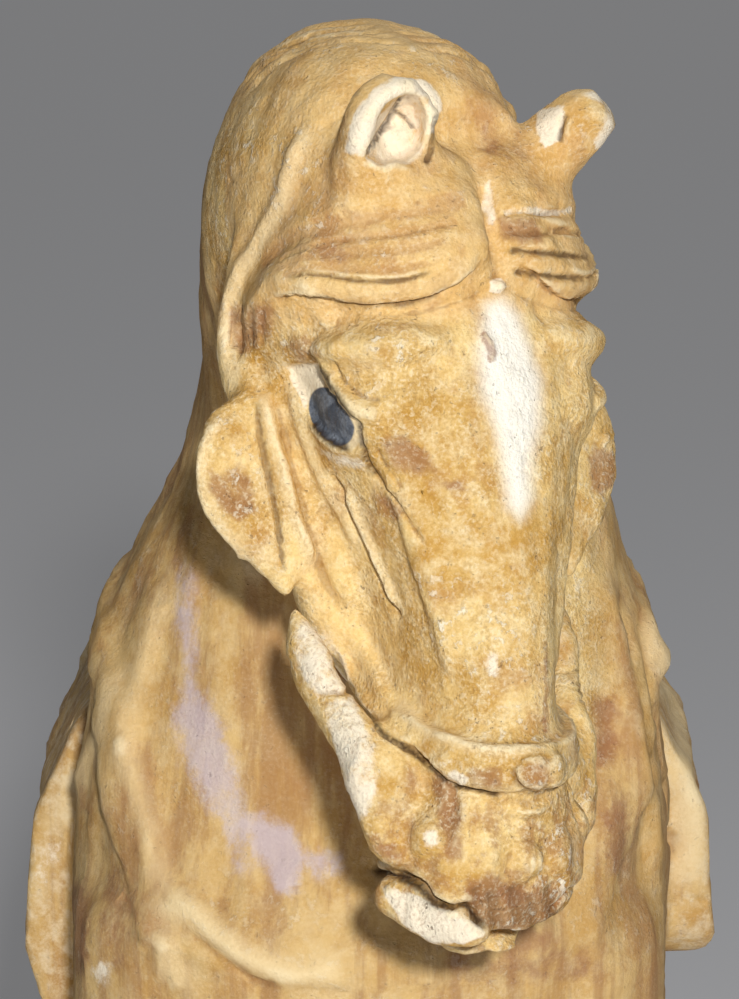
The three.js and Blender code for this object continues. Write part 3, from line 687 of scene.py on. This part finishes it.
def body_band(clay, strap):
    """A strap round the body, from its side-view line of y and z."""
    line = np.array([(0, y, z) for y, z in strap["line"]], float)
    line = curve(line, 4)
    flat = clay.at * vector((0, 1, 1))
    low, high = line.min(axis=0) - 20, line.max(axis=0) + 20
    index = np.flatnonzero(((flat > low) & (flat < high))[:, 1:].all(axis=1))
    distance = np.full(len(index), np.inf)
    for start, end in zip(line[:-1], line[1:]):
        run = end - start
        t = np.clip((flat[index] - start) @ run / (run @ run), 0, 1)
        distance = np.minimum(distance, np.linalg.norm(flat[index] - start - t[:, None] * run, axis=1))
    worn = 0.75 + 0.25 * noise(clay.at[index], 18, 31)
    lift = strap["height"] * worn * (1 - smoothstep(strap["half"] - 1.8, strap["half"] + 1.4, distance))
    clay.at[index] += clay.facing[index] * lift[:, None]


def fill_gaps(shaped, plugs):
    """Fills gaps of a solid with rows of balls, a little under the skin beside them."""
    tree = BVHTree.FromBMesh(shaped)
    for line, beside, radius, sink, both in plugs:
        depths = []
        for pixel in beside:
            eye, sight = sight_line(pixel)
            depths.append(tree.ray_cast(Vector(eye), Vector(sight))[3] / np.linalg.norm(sight) + sink)
        pixels = curve(line, 8)
        for pixel, depth in zip(pixels, np.linspace(*depths, len(pixels))):
            eye, sight = sight_line(pixel)
            middle = eye + sight * depth
            for place in ((middle, mirrored(middle)) if both else (middle,)):
                bmesh.ops.create_icosphere(
                    shaped, subdivisions=2, radius=radius, matrix=Matrix.Translation(place))


def skin_from(node, grid, plugs=()):
    """A fine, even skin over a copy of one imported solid, in millimetres."""
    mesh = bpy.data.objects[node].data.copy()
    mesh.transform(Matrix.Scale(1 / MM, 4))
    shaped = bmesh.new()
    shaped.from_mesh(mesh)
    bmesh.ops.remove_doubles(shaped, verts=shaped.verts, dist=0.01)
    fill_gaps(shaped, plugs)
    shaped.to_mesh(mesh)
    shaped.free()
    thing = bpy.data.objects.new("skin", mesh)
    bpy.context.scene.collection.objects.link(thing)
    even = thing.modifiers.new("even", "REMESH")
    even.mode = "VOXEL"
    even.voxel_size = grid
    graph = bpy.context.evaluated_depsgraph_get()
    skin = bpy.data.meshes.new_from_object(thing.evaluated_get(graph))
    bpy.data.objects.remove(thing)
    return skin


def refine_head(clay):
    """Halves the grid on the head, where the modelling is finest."""
    wanted = head_share(clay.at) > 0.99
    fine = bmesh.new()
    fine.from_mesh(clay.mesh)
    fine.verts.ensure_lookup_table()
    edges = [e for e in fine.edges if wanted[e.verts[0].index] and wanted[e.verts[1].index]]
    bmesh.ops.subdivide_edges(fine, edges=edges, cuts=1, use_grid_fill=True)
    fine.to_mesh(clay.mesh)
    fine.free()
    clay.gather()
    clay.smooth(PASSES["head"], head_share(clay.at))
    clay.settle()


def model_body(clay):
    """Melts the facets of the solids into soft clay, and keeps the cloth's and the head's edges."""
    head = head_share(clay.at)
    cloth = inside_box(clay.at, CLOTH_BOX)
    legs = 1 - smoothstep(LEGS["low"], LEGS["high"], clay.at[:, 2])
    broad = (1 - head) * (1 - cloth) * (1 - LEGS["kept"] * legs)
    clay.smooth(PASSES["body"], broad)
    clay.smooth(PASSES["all"], np.ones(len(clay.at)))
    clay.smooth(PASSES["forelock"], inside_box(to_head(clay.at), FORELOCK_BOX))
    clay.settle()
    for strap in (BREAST_STRAP, CRUPPER_STRAP):
        body_band(clay, strap)
    z = clay.at[:, 2]
    neck = smoothstep(FLUTES["low"], FLUTES["low"] + FLUTES["fade"], z) * (1 - head) * (1 - cloth)
    neck *= 1 - smoothstep(FLUTES["high"], FLUTES["high"] + FLUTES["fade"], z)
    narrow = vector((FLUTES["width"], FLUTES["width"], FLUTES["length"]))
    flutes = noise(clay.at / narrow, 1, 11) + 0.5 * noise(clay.at / narrow, 0.45, 13)
    clay.at += clay.facing * (FLUTES["depth"] * neck * flutes)[:, None]
    clay.settle()


def model_mane(clay):
    """Locks that run back and down from the crest on both sides."""
    crest = curve(CREST_LINE, 3)
    for i in range(MANE["locks"]):
        first = int((i + 0.5) / MANE["locks"] * (len(crest) - 3))
        start = crest[first]
        along = crest[first + 2] - start
        along /= np.linalg.norm(along)
        for side in (-1, 1):
            shares = np.linspace(0, 1, 12)[:, None]
            lock = (start + shares * side * vector((MANE["reach"], 0, 0))
                    + shares ** 1.5 * along * MANE["sweep"] - shares ** 2 * vector((0, 0, MANE["fall"])))
            lock += noise(lock, 9, 40 + i)[:, None] * vector((0, 1, 1))
            clay.stroke(clay.rest_on(lock), 6, bead(-MANE["depth"], MANE["width"]))
    clay.settle()


def model_eyes(clay):
    """Both eyes: a shallow ball set in an opening under thick lids."""
    for flipped in (False, True):
        clay.smooth(EYE["softening"], 1 - smoothstep(0.5, 5, clay.gaps(EYE_OPENING, flipped)))
        clay.settle()
        gap = clay.gaps(EYE_OPENING, flipped)
        opening = 1 - smoothstep(-0.25, 0.25, gap)
        rounding = 1 - smoothstep(0, EYE["round"], -gap)
        sink = opening * (EYE["middle"] + (EYE["edge"] - EYE["middle"]) * rounding)
        clay.at -= clay.facing * sink[:, None]
        clay.paint["eyeball"] = np.maximum(clay.paint["eyeball"], opening)
        clay.smooth(EYE["edge_softening"], 1 - smoothstep(0.6, 1.4, np.abs(gap)))
        clay.smooth(EYE["ball_softening"], 1 - smoothstep(-1.6, -0.8, gap))
        clay.settle()


def pupil_oval(clay):
    """The painted pupil's middle, and its half axes square to the camera's line of sight."""
    corner = {name: vector(clay.place(pixel)) for name, pixel in PUPIL.items()}
    middle = sum(corner.values()) / len(corner)
    sight = middle - photo_axes()[0]
    sight /= np.linalg.norm(sight)
    across = (corner["right"] - corner["left"]) / 2
    along = (corner["bottom"] - corner["top"]) / 2
    return {
        "middle": middle,
        "across": across - sight * (across @ sight),
        "along": along - sight * (along @ sight),
    }


def forelock_strands():
    """The lines of the combed forelock, as photo pixels."""
    shares = np.linspace(STRANDS["first"], STRANDS["last"], STRANDS["count"])
    return [between(FORELOCK_TOP, FORELOCK_CREASE, share) for share in shares]


def model_forelock(clay):
    """A swag of hair on each side of the parting, with a thick rolled edge over the brow."""
    for i, line in enumerate(forelock_strands()):
        clay.strokes(line, 5, bead(-0.7 - 0.5 * (i % 2), 0.9 + 0.4 * (i % 3)))
    clay.strokes(FORELOCK_ROLL, 10, bead(1.0, 3.0))
    for share in (0.35, 0.68):
        clay.strokes(between(FORELOCK_CREASE, FORELOCK_EDGE, share), 4, bead(-0.6, 0.7))
    clay.settle()
    clay.strokes(FORELOCK_CREASE, 6, step(0.5, 0.4, 2.2))
    clay.strokes(FORELOCK_CREASE, 4, bead(-1.0, 0.6))
    clay.strokes(FORELOCK_EDGE, 9, step(0.8, 0.8, 3.0))
    clay.strokes(FORELOCK_EDGE, 4, bead(-1.4, 0.6))
    clay.work(FORELOCK_STROKES)


def tip_furrows():
    """Short upright furrows on the lip's tip, as photo pixels."""
    across, top, bottom = TIP_FURROWS["across"], TIP_FURROWS["top"], TIP_FURROWS["bottom"]
    starts = np.linspace(*across) + TIP_FURROWS["drift"] * np.sin(np.arange(across[2]) * 2.4)
    middle = (top + bottom) / 2
    return [[(x, top + i % 3 * 5), (x + 2, middle), (x + 6, bottom)] for i, x in enumerate(starts)]


def model_face(clay):
    """Lids, tear lines, straps, noseband, mouth and lip."""
    clay.lumps(HEAD_LUMPS, mirror=True)
    clay.settle()
    clay.work(FACE_STROKES + [(line, -0.4, 1.0, 4, False) for line in tip_furrows()])


def model_tack(clay):
    """The headstall, the leaf pendants, the bit's cheekpieces and the broken ears."""
    clay.work(TACK_STROKES)
    clay.bowl(EAR_BOWL, 5.0, 2.2)
    clay.lumps(BODY_LUMPS, mirror=False)
    clay.settle()
    clay.work(EAR_STROKES)


def paint_skin(clay):
    clay.fields("blaze", [(BLAZE, 1.0, 2.6)], mirror=False)
    clay.fields("pale", PAIRED_PALE_FIELDS, mirror=True)
    clay.fields("pale", PALE_FIELDS, mirror=False)
    clay.fields("pale", [(EAR_BOWL, 0.75, 1.2)], mirror=False)
    clay.brush("pale", PALE_LINES)
    # cream along ridges and straps: painted highlight, partly paler paint
    clay.brush("light", PALER_AND_HIGHLIGHT_LINES)
    clay.brush("strand", [(line, 1.6, 0.5 + 0.5 * (i % 2)) for i, line in enumerate(forelock_strands())])
    # near-black painted shadow in deep grooves, and the ears' real cracks
    clay.brush("crack_and_shade", CRACK_AND_SHADE_LINES + [(line, 1.6, 0.35) for line in tip_furrows()])
    clay.fields("stain_and_shadow", PAIRED_STAIN_FIELDS, mirror=True)
    # brown patches: real stains, and painted shadow under the chin
    clay.fields("stain_and_shadow", STAIN_AND_SHADOW_FIELDS, mirror=False)
    clay.brush("stain_and_shadow", STAIN_LINES)
    clay.fields("lilac", LILAC_FIELDS, mirror=False)
    head = head_share(clay.at)
    clay.paint["body"] = 1 - head
    low, high = MUZZLE
    clay.paint["muzzle"] = head * (1 - smoothstep(low, high, to_head(clay.at)[:, 2]))
    clay.paint["hair"] = inside_box(to_head(clay.at), FORELOCK_BOX)
    crest = curve(CREST_LINE, 3)
    index, distance, _, _ = clay.near(crest, HAIR_REACH["search"])
    mane = 1 - smoothstep(HAIR_REACH["full"], HAIR_REACH["none"], distance)
    clay.paint["hair"][index] = np.maximum(clay.paint["hair"][index], mane)
    clay.paint["cloth"] = inside_box(clay.at, CLOTH_BOX)


def roughen(clay):
    """The unevenness of a long-buried, hand-modelled surface, coarser on the muzzle, smooth on the eyes."""
    swell = swells(clay.at, SWELLS) + clay.paint["muzzle"] * swells(clay.at, MUZZLE_SWELLS)
    pits = np.clip(noise(clay.at, PITS["size"], PITS["seed"]) - PITS["level"], 0, 1)
    calm = 1 - 0.85 * clay.paint["eyeball"]
    clay.at += clay.facing * (calm * (swell - PITS["depth"] * pits))[:, None]
    clay.settle()


def mark_wear(clay):
    """Leaves how hollow and how proud each place is as attributes for the paint."""
    soft = clay.at.copy()
    for _ in range(PASSES["wear"]):
        soft = clay.mean(soft)
    bend = ((soft - clay.at) * clay.facing).sum(axis=1)
    full = 0.5 + 0.8 * clay.paint["body"]
    marks = {"hollow": np.clip(bend / full, 0, 1), "proud": np.clip(-bend / full, 0, 1), **clay.paint}
    for name, values in marks.items():
        layer = clay.mesh.attributes.new(name, "FLOAT", "POINT")
        layer.data.foreach_set("value", values.astype(np.float32))


def reduce(clay, name):
    """Thins the even grid where it is flat and away from the face, and gives the finished piece in metres."""
    head = head_share(clay.at)
    group = clay.thing.vertex_groups.new(name="thin")
    levels = np.round((1 - head * (1 - SKIN["head_share"])) * 20).astype(int)
    for level in np.unique(levels):
        group.add(np.flatnonzero(levels == level).tolist(), float(level / 20), "REPLACE")
    triangles = sum(len(p.vertices) - 2 for p in clay.mesh.polygons)
    thin = clay.thing.modifiers.new("thin", "DECIMATE")
    thin.ratio = SKIN["triangles"] / triangles
    thin.vertex_group = "thin"
    thin.use_collapse_triangulate = True
    graph = bpy.context.evaluated_depsgraph_get()
    mesh = bpy.data.meshes.new_from_object(clay.thing.evaluated_get(graph))
    bpy.data.objects.remove(clay.thing)
    return piece_from(mesh, name)


def piece_from(mesh, name):
    mesh.transform(Matrix.Scale(MM, 4))
    mesh.shade_smooth()
    piece = bpy.data.objects.new(name, mesh)
    bpy.context.scene.collection.objects.link(piece)
    return piece


def make_horse():
    """The horse's skin, and the oval of its painted pupils."""
    clay = Clay(skin_from("horse", SKIN["grid"], PLUGS))
    model_body(clay)
    refine_head(clay)
    model_mane(clay)
    model_eyes(clay)
    oval = pupil_oval(clay)
    for outline, times in SOFTENED:
        clay.soften(outline, times)
    for outline, height, edge in RAISED:
        clay.plate(outline, height, edge)
    model_forelock(clay)
    model_face(clay)
    model_tack(clay)
    clay.work(FOLD_STROKES)
    paint_skin(clay)
    roughen(clay)
    mark_wear(clay)
    return reduce(clay, "horse_clay"), oval


def make_base():
    clay = Clay(skin_from("base_slab", SKIN["base_grid"]))
    clay.smooth(PASSES["base"], np.ones(len(clay.at)))
    clay.settle()
    top = smoothstep(1, 5, clay.at[:, 2])
    swell = top * swells(clay.at, BASE_SWELLS)
    clay.at += clay.facing * swell[:, None]
    clay.at[:, 2] = np.maximum(clay.at[:, 2], 0)
    clay.settle()
    mark_wear(clay)
    mesh = clay.mesh.copy()
    bpy.data.objects.remove(clay.thing)
    return piece_from(mesh, "base_clay_slab")


def colour(red, green, blue):
    """A screen colour of 0 to 255 as the shader's linear colour."""
    def linear(level):
        share = level / 255
        return share / 12.92 if share <= 0.04045 else ((share + 0.055) / 1.055) ** 2.4
    return (linear(red), linear(green), linear(blue), 1)


class Nodes:
    """Adds nodes to a tree, with each socket given a value or another node's output."""

    def __init__(self, tree):
        self.tree = tree

    def add(self, kind, sockets=None, **settings):
        made = self.tree.nodes.new(kind)
        for key, value in settings.items():
            setattr(made, key, value)
        for key, value in (sockets or {}).items():
            if isinstance(value, bpy.types.NodeSocket):
                self.tree.links.new(value, made.inputs[key])
            else:
                made.inputs[key].default_value = value
        return made

    def noise(self, place, scale, detail=3, roughness=0.55):
        return self.add("ShaderNodeTexNoise", {
            "Vector": place, "Scale": scale, "Detail": detail, "Roughness": roughness}).outputs["Fac"]

    def stretched(self, place, stretch):
        return self.add("ShaderNodeMapping", {"Vector": place, "Scale": stretch}).outputs["Vector"]

    def window(self, value, low, high):
        limits = {"Value": value, "From Min": low, "From Max": high}
        return self.add("ShaderNodeMapRange", limits, interpolation_type="SMOOTHSTEP").outputs["Result"]

    def math(self, operation, first, second):
        return self.add("ShaderNodeMath", {0: first, 1: second}, operation=operation).outputs[0]

    def product(self, *factors):
        total = factors[0]
        for factor in factors[1:]:
            total = self.math("MULTIPLY", total, factor)
        return total

    def mix(self, share, first, second):
        return self.add("ShaderNodeMix", {0: share, 6: first, 7: second}, data_type="RGBA").outputs[2]

    def layered(self, ground, layers):
        """Paints layers over a ground, each with its share and colour."""
        for share, tint in layers:
            ground = self.mix(share, ground, tint)
        return ground

    def attribute(self, name):
        return self.add("ShaderNodeAttribute", attribute_name=name).outputs["Fac"]


def worn_surface_group():
    """Masks that both clays share: grain, grit, flecks, specks, mottling, earth with painted shade in
    hollows, and rubbed edges.
    """
    group = bpy.data.node_groups.new("worn_surface", "ShaderNodeTree")
    nodes = Nodes(group)
    place = nodes.add("ShaderNodeTexCoord").outputs["Object"]
    cloud = nodes.noise(place, 34, 4)
    fine = nodes.noise(place, 1150, 3, 0.6)
    coarse = nodes.noise(place, 360, 5, 0.68)
    broken = nodes.noise(place, 240, 4, 0.6)
    flecks = nodes.product(nodes.window(coarse, 0.57, 0.62), nodes.window(cloud, 0.44, 0.62))
    dots = nodes.window(nodes.noise(place, 760, 2), 0.66, 0.72)
    specks = nodes.product(dots, nodes.window(broken, 0.4, 0.6))
    hollow = nodes.math("MULTIPLY", nodes.attribute("hollow"), nodes.math("ADD", broken, 0.6))
    proud = nodes.math("MULTIPLY", nodes.attribute("proud"), nodes.math("ADD", broken, 0.5))
    relief = nodes.math("ADD", nodes.math("MULTIPLY", coarse, 0.7), nodes.math("MULTIPLY", fine, 0.6))
    relief = nodes.math("ADD", relief, nodes.math("MULTIPLY", flecks, 0.15))
    masks = {
        "Grain": nodes.math("SUBTRACT", relief, nodes.math("MULTIPLY", specks, 0.5)),
        "Grit": nodes.window(fine, 0.5, 0.66),
        "Shade": nodes.window(fine, 0.5, 0.34),
        "Flecks": flecks,
        "Specks": specks,
        "Mottle": nodes.window(nodes.noise(place, 52, 7, 0.66), 0.34, 0.66),
        "Dust": nodes.window(nodes.noise(place, 190, 6, 0.72), 0.42, 0.68),
        # darker in hollows: partly burial earth, partly painted shade in the creases
        "Earth_and_shade": nodes.window(hollow, 0.2, 0.9),
        "Rubbed": nodes.window(proud, 0.3, 0.85),
    }
    out = nodes.add("NodeGroupOutput")
    for name in masks:
        group.interface.new_socket(name, in_out="OUTPUT", socket_type="NodeSocketFloat")
    for name, value in masks.items():
        group.links.new(value, out.inputs[name])
    return group


def pupil_mask(nodes, place, oval):
    """1 on both painted pupils: an oval seen by the camera, cut by the upper lid, and its mirror image."""
    flip = HEAD_AXES @ np.diag(HEAD_FLIP) @ HEAD_AXES.T
    rows = np.linalg.pinv(np.stack([oval["across"], oval["along"]], axis=1))
    masks = []
    for turn, middle in ((np.eye(3), oval["middle"]), (flip, mirrored(oval["middle"]))):
        parts = []
        for axis in rows @ turn:
            ends_at = {0: place, 1: tuple(axis / MM)}
            reach = nodes.add("ShaderNodeVectorMath", ends_at, operation="DOT_PRODUCT").outputs["Value"]
            parts.append(nodes.math("ADD", reach, float(-axis @ middle)))
        squares = [nodes.math("MULTIPLY", part, part) for part in parts]
        inside = nodes.window(nodes.math("ADD", *squares), 1.08, 0.92)
        under_lid = nodes.window(parts[0], PUPIL_CUT + 0.06, PUPIL_CUT - 0.06)
        masks.append(nodes.product(inside, under_lid))
    return nodes.product(nodes.math("MAXIMUM", *masks), nodes.window(nodes.attribute("eyeball"), 0.02, 0.15))


def start_material(name, shared):
    """An empty material, with its node maker, Object place and the shared masks."""
    material = bpy.data.materials.new(name)
    material.use_nodes = True
    material.node_tree.nodes.clear()
    nodes = Nodes(material.node_tree)
    place = nodes.add("ShaderNodeTexCoord").outputs["Object"]
    worn = nodes.add("ShaderNodeGroup", node_tree=shared).outputs
    return material, nodes, place, worn


def close_material(material, nodes, base, roughness, height, depth):
    bump = nodes.add("ShaderNodeBump", {"Strength": 0.8, "Distance": depth, "Height": height})
    shader = nodes.add("ShaderNodeBsdfPrincipled", {
        "Base Color": base, "Roughness": roughness, "Normal": bump.outputs["Normal"]})
    shader.inputs["Specular IOR Level"].default_value = 0.22
    out = nodes.add("ShaderNodeOutputMaterial")
    material.node_tree.links.new(shader.outputs[0], out.inputs["Surface"])
    return material


def painted_clay(shared, oval):
    material, nodes, place, worn = start_material("painted_clay", shared)
    hair, body = nodes.attribute("hair"), nodes.attribute("body")
    zone = nodes.window(nodes.noise(place, 70, 4, 0.6), 0.38, 0.62)
    sharp = nodes.product(
        nodes.math("SUBTRACT", 1.0, nodes.math("MULTIPLY", body, 0.75)),
        nodes.math("SUBTRACT", 1.0, nodes.math("MULTIPLY", hair, 0.45)),
        nodes.math("ADD", nodes.math("MULTIPLY", zone, 0.6), 0.5))
    ragged = nodes.math("SUBTRACT", nodes.noise(place, 120, 8, 0.76), 0.5)
    streaks = nodes.noise(nodes.stretched(place, (1, 1, 0.06)), 110, 5, 0.65)

    def patch(name, strength, sharpness=0.55):
        """A painted patch with torn edges."""
        amount = nodes.attribute(name)
        level = nodes.math("ADD", amount, nodes.math("MULTIPLY", ragged, 2.4))
        torn = nodes.window(level, 0.5 - sharpness / 2, 0.5 + sharpness / 2)
        return nodes.product(torn, nodes.window(amount, 0.02, 0.4), strength)

    def keeping_off(name, amount):
        return nodes.math("SUBTRACT", 1.0, nodes.math("MULTIPLY", nodes.attribute(name), amount))

    product, mark = nodes.product, nodes.attribute
    rusty = nodes.window(nodes.noise(place, 120, 6, 0.7), 0.5, 0.66)
    grime = nodes.window(nodes.noise(place, 170, 6, 0.7), 0.46, 0.62)
    stains = nodes.window(nodes.noise(place, 30, 6, 0.66), 0.54, 0.68)
    runs = nodes.window(streaks, 0.44, 0.64)
    combed = nodes.window(streaks, 0.48, 0.66)
    bare = keeping_off("blaze", 0.9)
    pupil = pupil_mask(nodes, place, oval)
    slate = nodes.mix(worn["Dust"], colour(74, 80, 90), colour(128, 134, 142))
    layers = [
        (product(rusty, 0.5), colour(190, 140, 66)),
        (product(worn["Dust"], 0.55), colour(244, 224, 176)),
        (product(hair, 0.45), colour(228, 184, 120)),
        (product(body, 0.5), colour(196, 158, 104)),
        (product(mark("muzzle"), grime, 0.6), colour(160, 112, 70)),
        (product(body, runs, 0.65), colour(158, 114, 74)),
        (product(hair, combed, 0.3), colour(174, 122, 80)),
        (product(mark("cloth"), worn["Dust"], 0.6), colour(232, 212, 176)),
        (product(stains, 0.45), colour(176, 128, 84)),
        (patch("strand", 0.35), colour(162, 108, 68)),
        # cream along ridges and straps: painted highlight, partly paler paint
        (product(mark("light"), 0.75), colour(236, 210, 160)),
        (product(mark("blaze"), 0.97), colour(250, 244, 230)),
        # brown patches: real stains, and painted shadow under the chin
        (patch("stain_and_shadow", 0.68, 0.9), colour(146, 98, 70)),
        (patch("lilac", 0.6, 0.9), colour(204, 194, 206)),
        (patch("pale", 0.88), colour(246, 234, 210)),
        (product(worn["Rubbed"], 0.5), colour(246, 228, 186)),
        (product(worn["Shade"], sharp, bare, 0.32), colour(150, 104, 52)),
        (product(worn["Grit"], sharp, 0.35), colour(252, 240, 208)),
        (product(worn["Flecks"], sharp, 0.75), colour(250, 240, 216)),
        (product(worn["Specks"], sharp, bare, 0.5), colour(122, 82, 48)),
        # darker in hollows and grooves: partly burial earth, partly painted shade
        (product(worn["Earth_and_shade"], keeping_off("pale", 0.6), 0.45), colour(122, 80, 42)),
        (product(mark("eyeball"), 0.5), colour(236, 220, 186)),
        (pupil, slate),
        # near-black painted shadow along deep grooves, and real cracks
        (product(mark("crack_and_shade"), 0.9), colour(44, 26, 14)),
    ]
    ochre = nodes.mix(worn["Mottle"], colour(196, 150, 72), colour(236, 204, 138))
    paint = nodes.layered(ochre, layers)
    dull = nodes.math("SUBTRACT", 0.95, nodes.math("MULTIPLY", pupil, 0.4))
    height = nodes.product(worn["Grain"], nodes.math("ADD", nodes.math("MULTIPLY", sharp, 0.75), 0.25))
    return close_material(material, nodes, paint, dull, height, 0.0011)


def base_clay(shared):
    material, nodes, place, worn = start_material("base_clay", shared)
    layers = [
        (nodes.product(worn["Dust"], 0.4), colour(214, 186, 140)),
        (nodes.product(worn["Flecks"], 0.4), colour(226, 208, 176)),
        (nodes.product(worn["Specks"], 0.4), colour(112, 78, 50)),
        (nodes.product(worn["Rubbed"], 0.5), colour(220, 196, 156)),
        # darker in hollows: partly earth, partly painted shade
        (nodes.product(worn["Earth_and_shade"], 0.7), colour(96, 66, 42)),
    ]
    buff = nodes.layered(nodes.mix(worn["Mottle"], colour(160, 120, 74), colour(196, 158, 108)), layers)
    dull = nodes.math("SUBTRACT", 0.95, nodes.math("MULTIPLY", worn["Mottle"], 0.1))
    return close_material(material, nodes, buff, dull, worn["Grain"], 0.001)


def make_stage():
    """A plain pale floor, soft studio light and the photo's camera."""
    scene = bpy.context.scene
    half = FLOOR_HALF
    corners = [(-half, -half, 0), (half, -half, 0), (half, half, 0), (-half, half, 0)]
    floor = bpy.data.meshes.new("floor")
    floor.from_pydata(corners, [], [(0, 1, 2, 3)])
    pale = bpy.data.materials.new("floor")
    pale.use_nodes = True
    shader = pale.node_tree.nodes["Principled BSDF"]
    shader.inputs["Base Color"].default_value = FLOOR_COLOUR
    shader.inputs["Roughness"].default_value = 0.95
    floor.materials.append(pale)
    thing = bpy.data.objects.new("floor", floor)
    scene.collection.objects.link(thing)

    world = bpy.data.worlds.new("studio")
    world.use_nodes = True
    sky = world.node_tree.nodes["Background"]
    sky.inputs["Color"].default_value = WORLD["colour"]
    sky.inputs["Strength"].default_value = WORLD["strength"]
    scene.world = world
    scene.view_settings.view_transform = "Standard"

    aim = Vector(LIGHT_AIM)
    for row in LIGHTS:
        lamp = bpy.data.lights.new(row["name"], row["kind"])
        lamp.energy = row["power"]
        if row["kind"] == "SUN":
            lamp.angle = row["size"]
        else:
            lamp.size = row["size"]
        light = bpy.data.objects.new(row["name"], lamp)
        light.location = row["at"]
        light.rotation_euler = (Vector(row["at"]) - aim).to_track_quat("Z", "Y").to_euler()
        scene.collection.objects.link(light)

    place, right, up, back = photo_axes()
    camera = bpy.data.cameras.new("camera")
    camera.lens = CAMERA["lens"]
    camera.sensor_width = CAMERA["sensor"]
    view = bpy.data.objects.new("camera", camera)
    view.matrix_world = Matrix([
        [right[i], up[i], back[i], place[i] * MM] for i in range(3)] + [[0, 0, 0, 1]])
    scene.collection.objects.link(view)
    scene.camera = view


def finish_piece(piece, node, material):
    piece.data.materials.clear()
    piece.data.materials.append(material)
    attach(piece, "root")
    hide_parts(node)


shared = worn_surface_group()
horse, oval = make_horse()
finish_piece(horse, "horse", painted_clay(shared, oval))
finish_piece(make_base(), "base_slab", base_clay(shared))
make_stage()
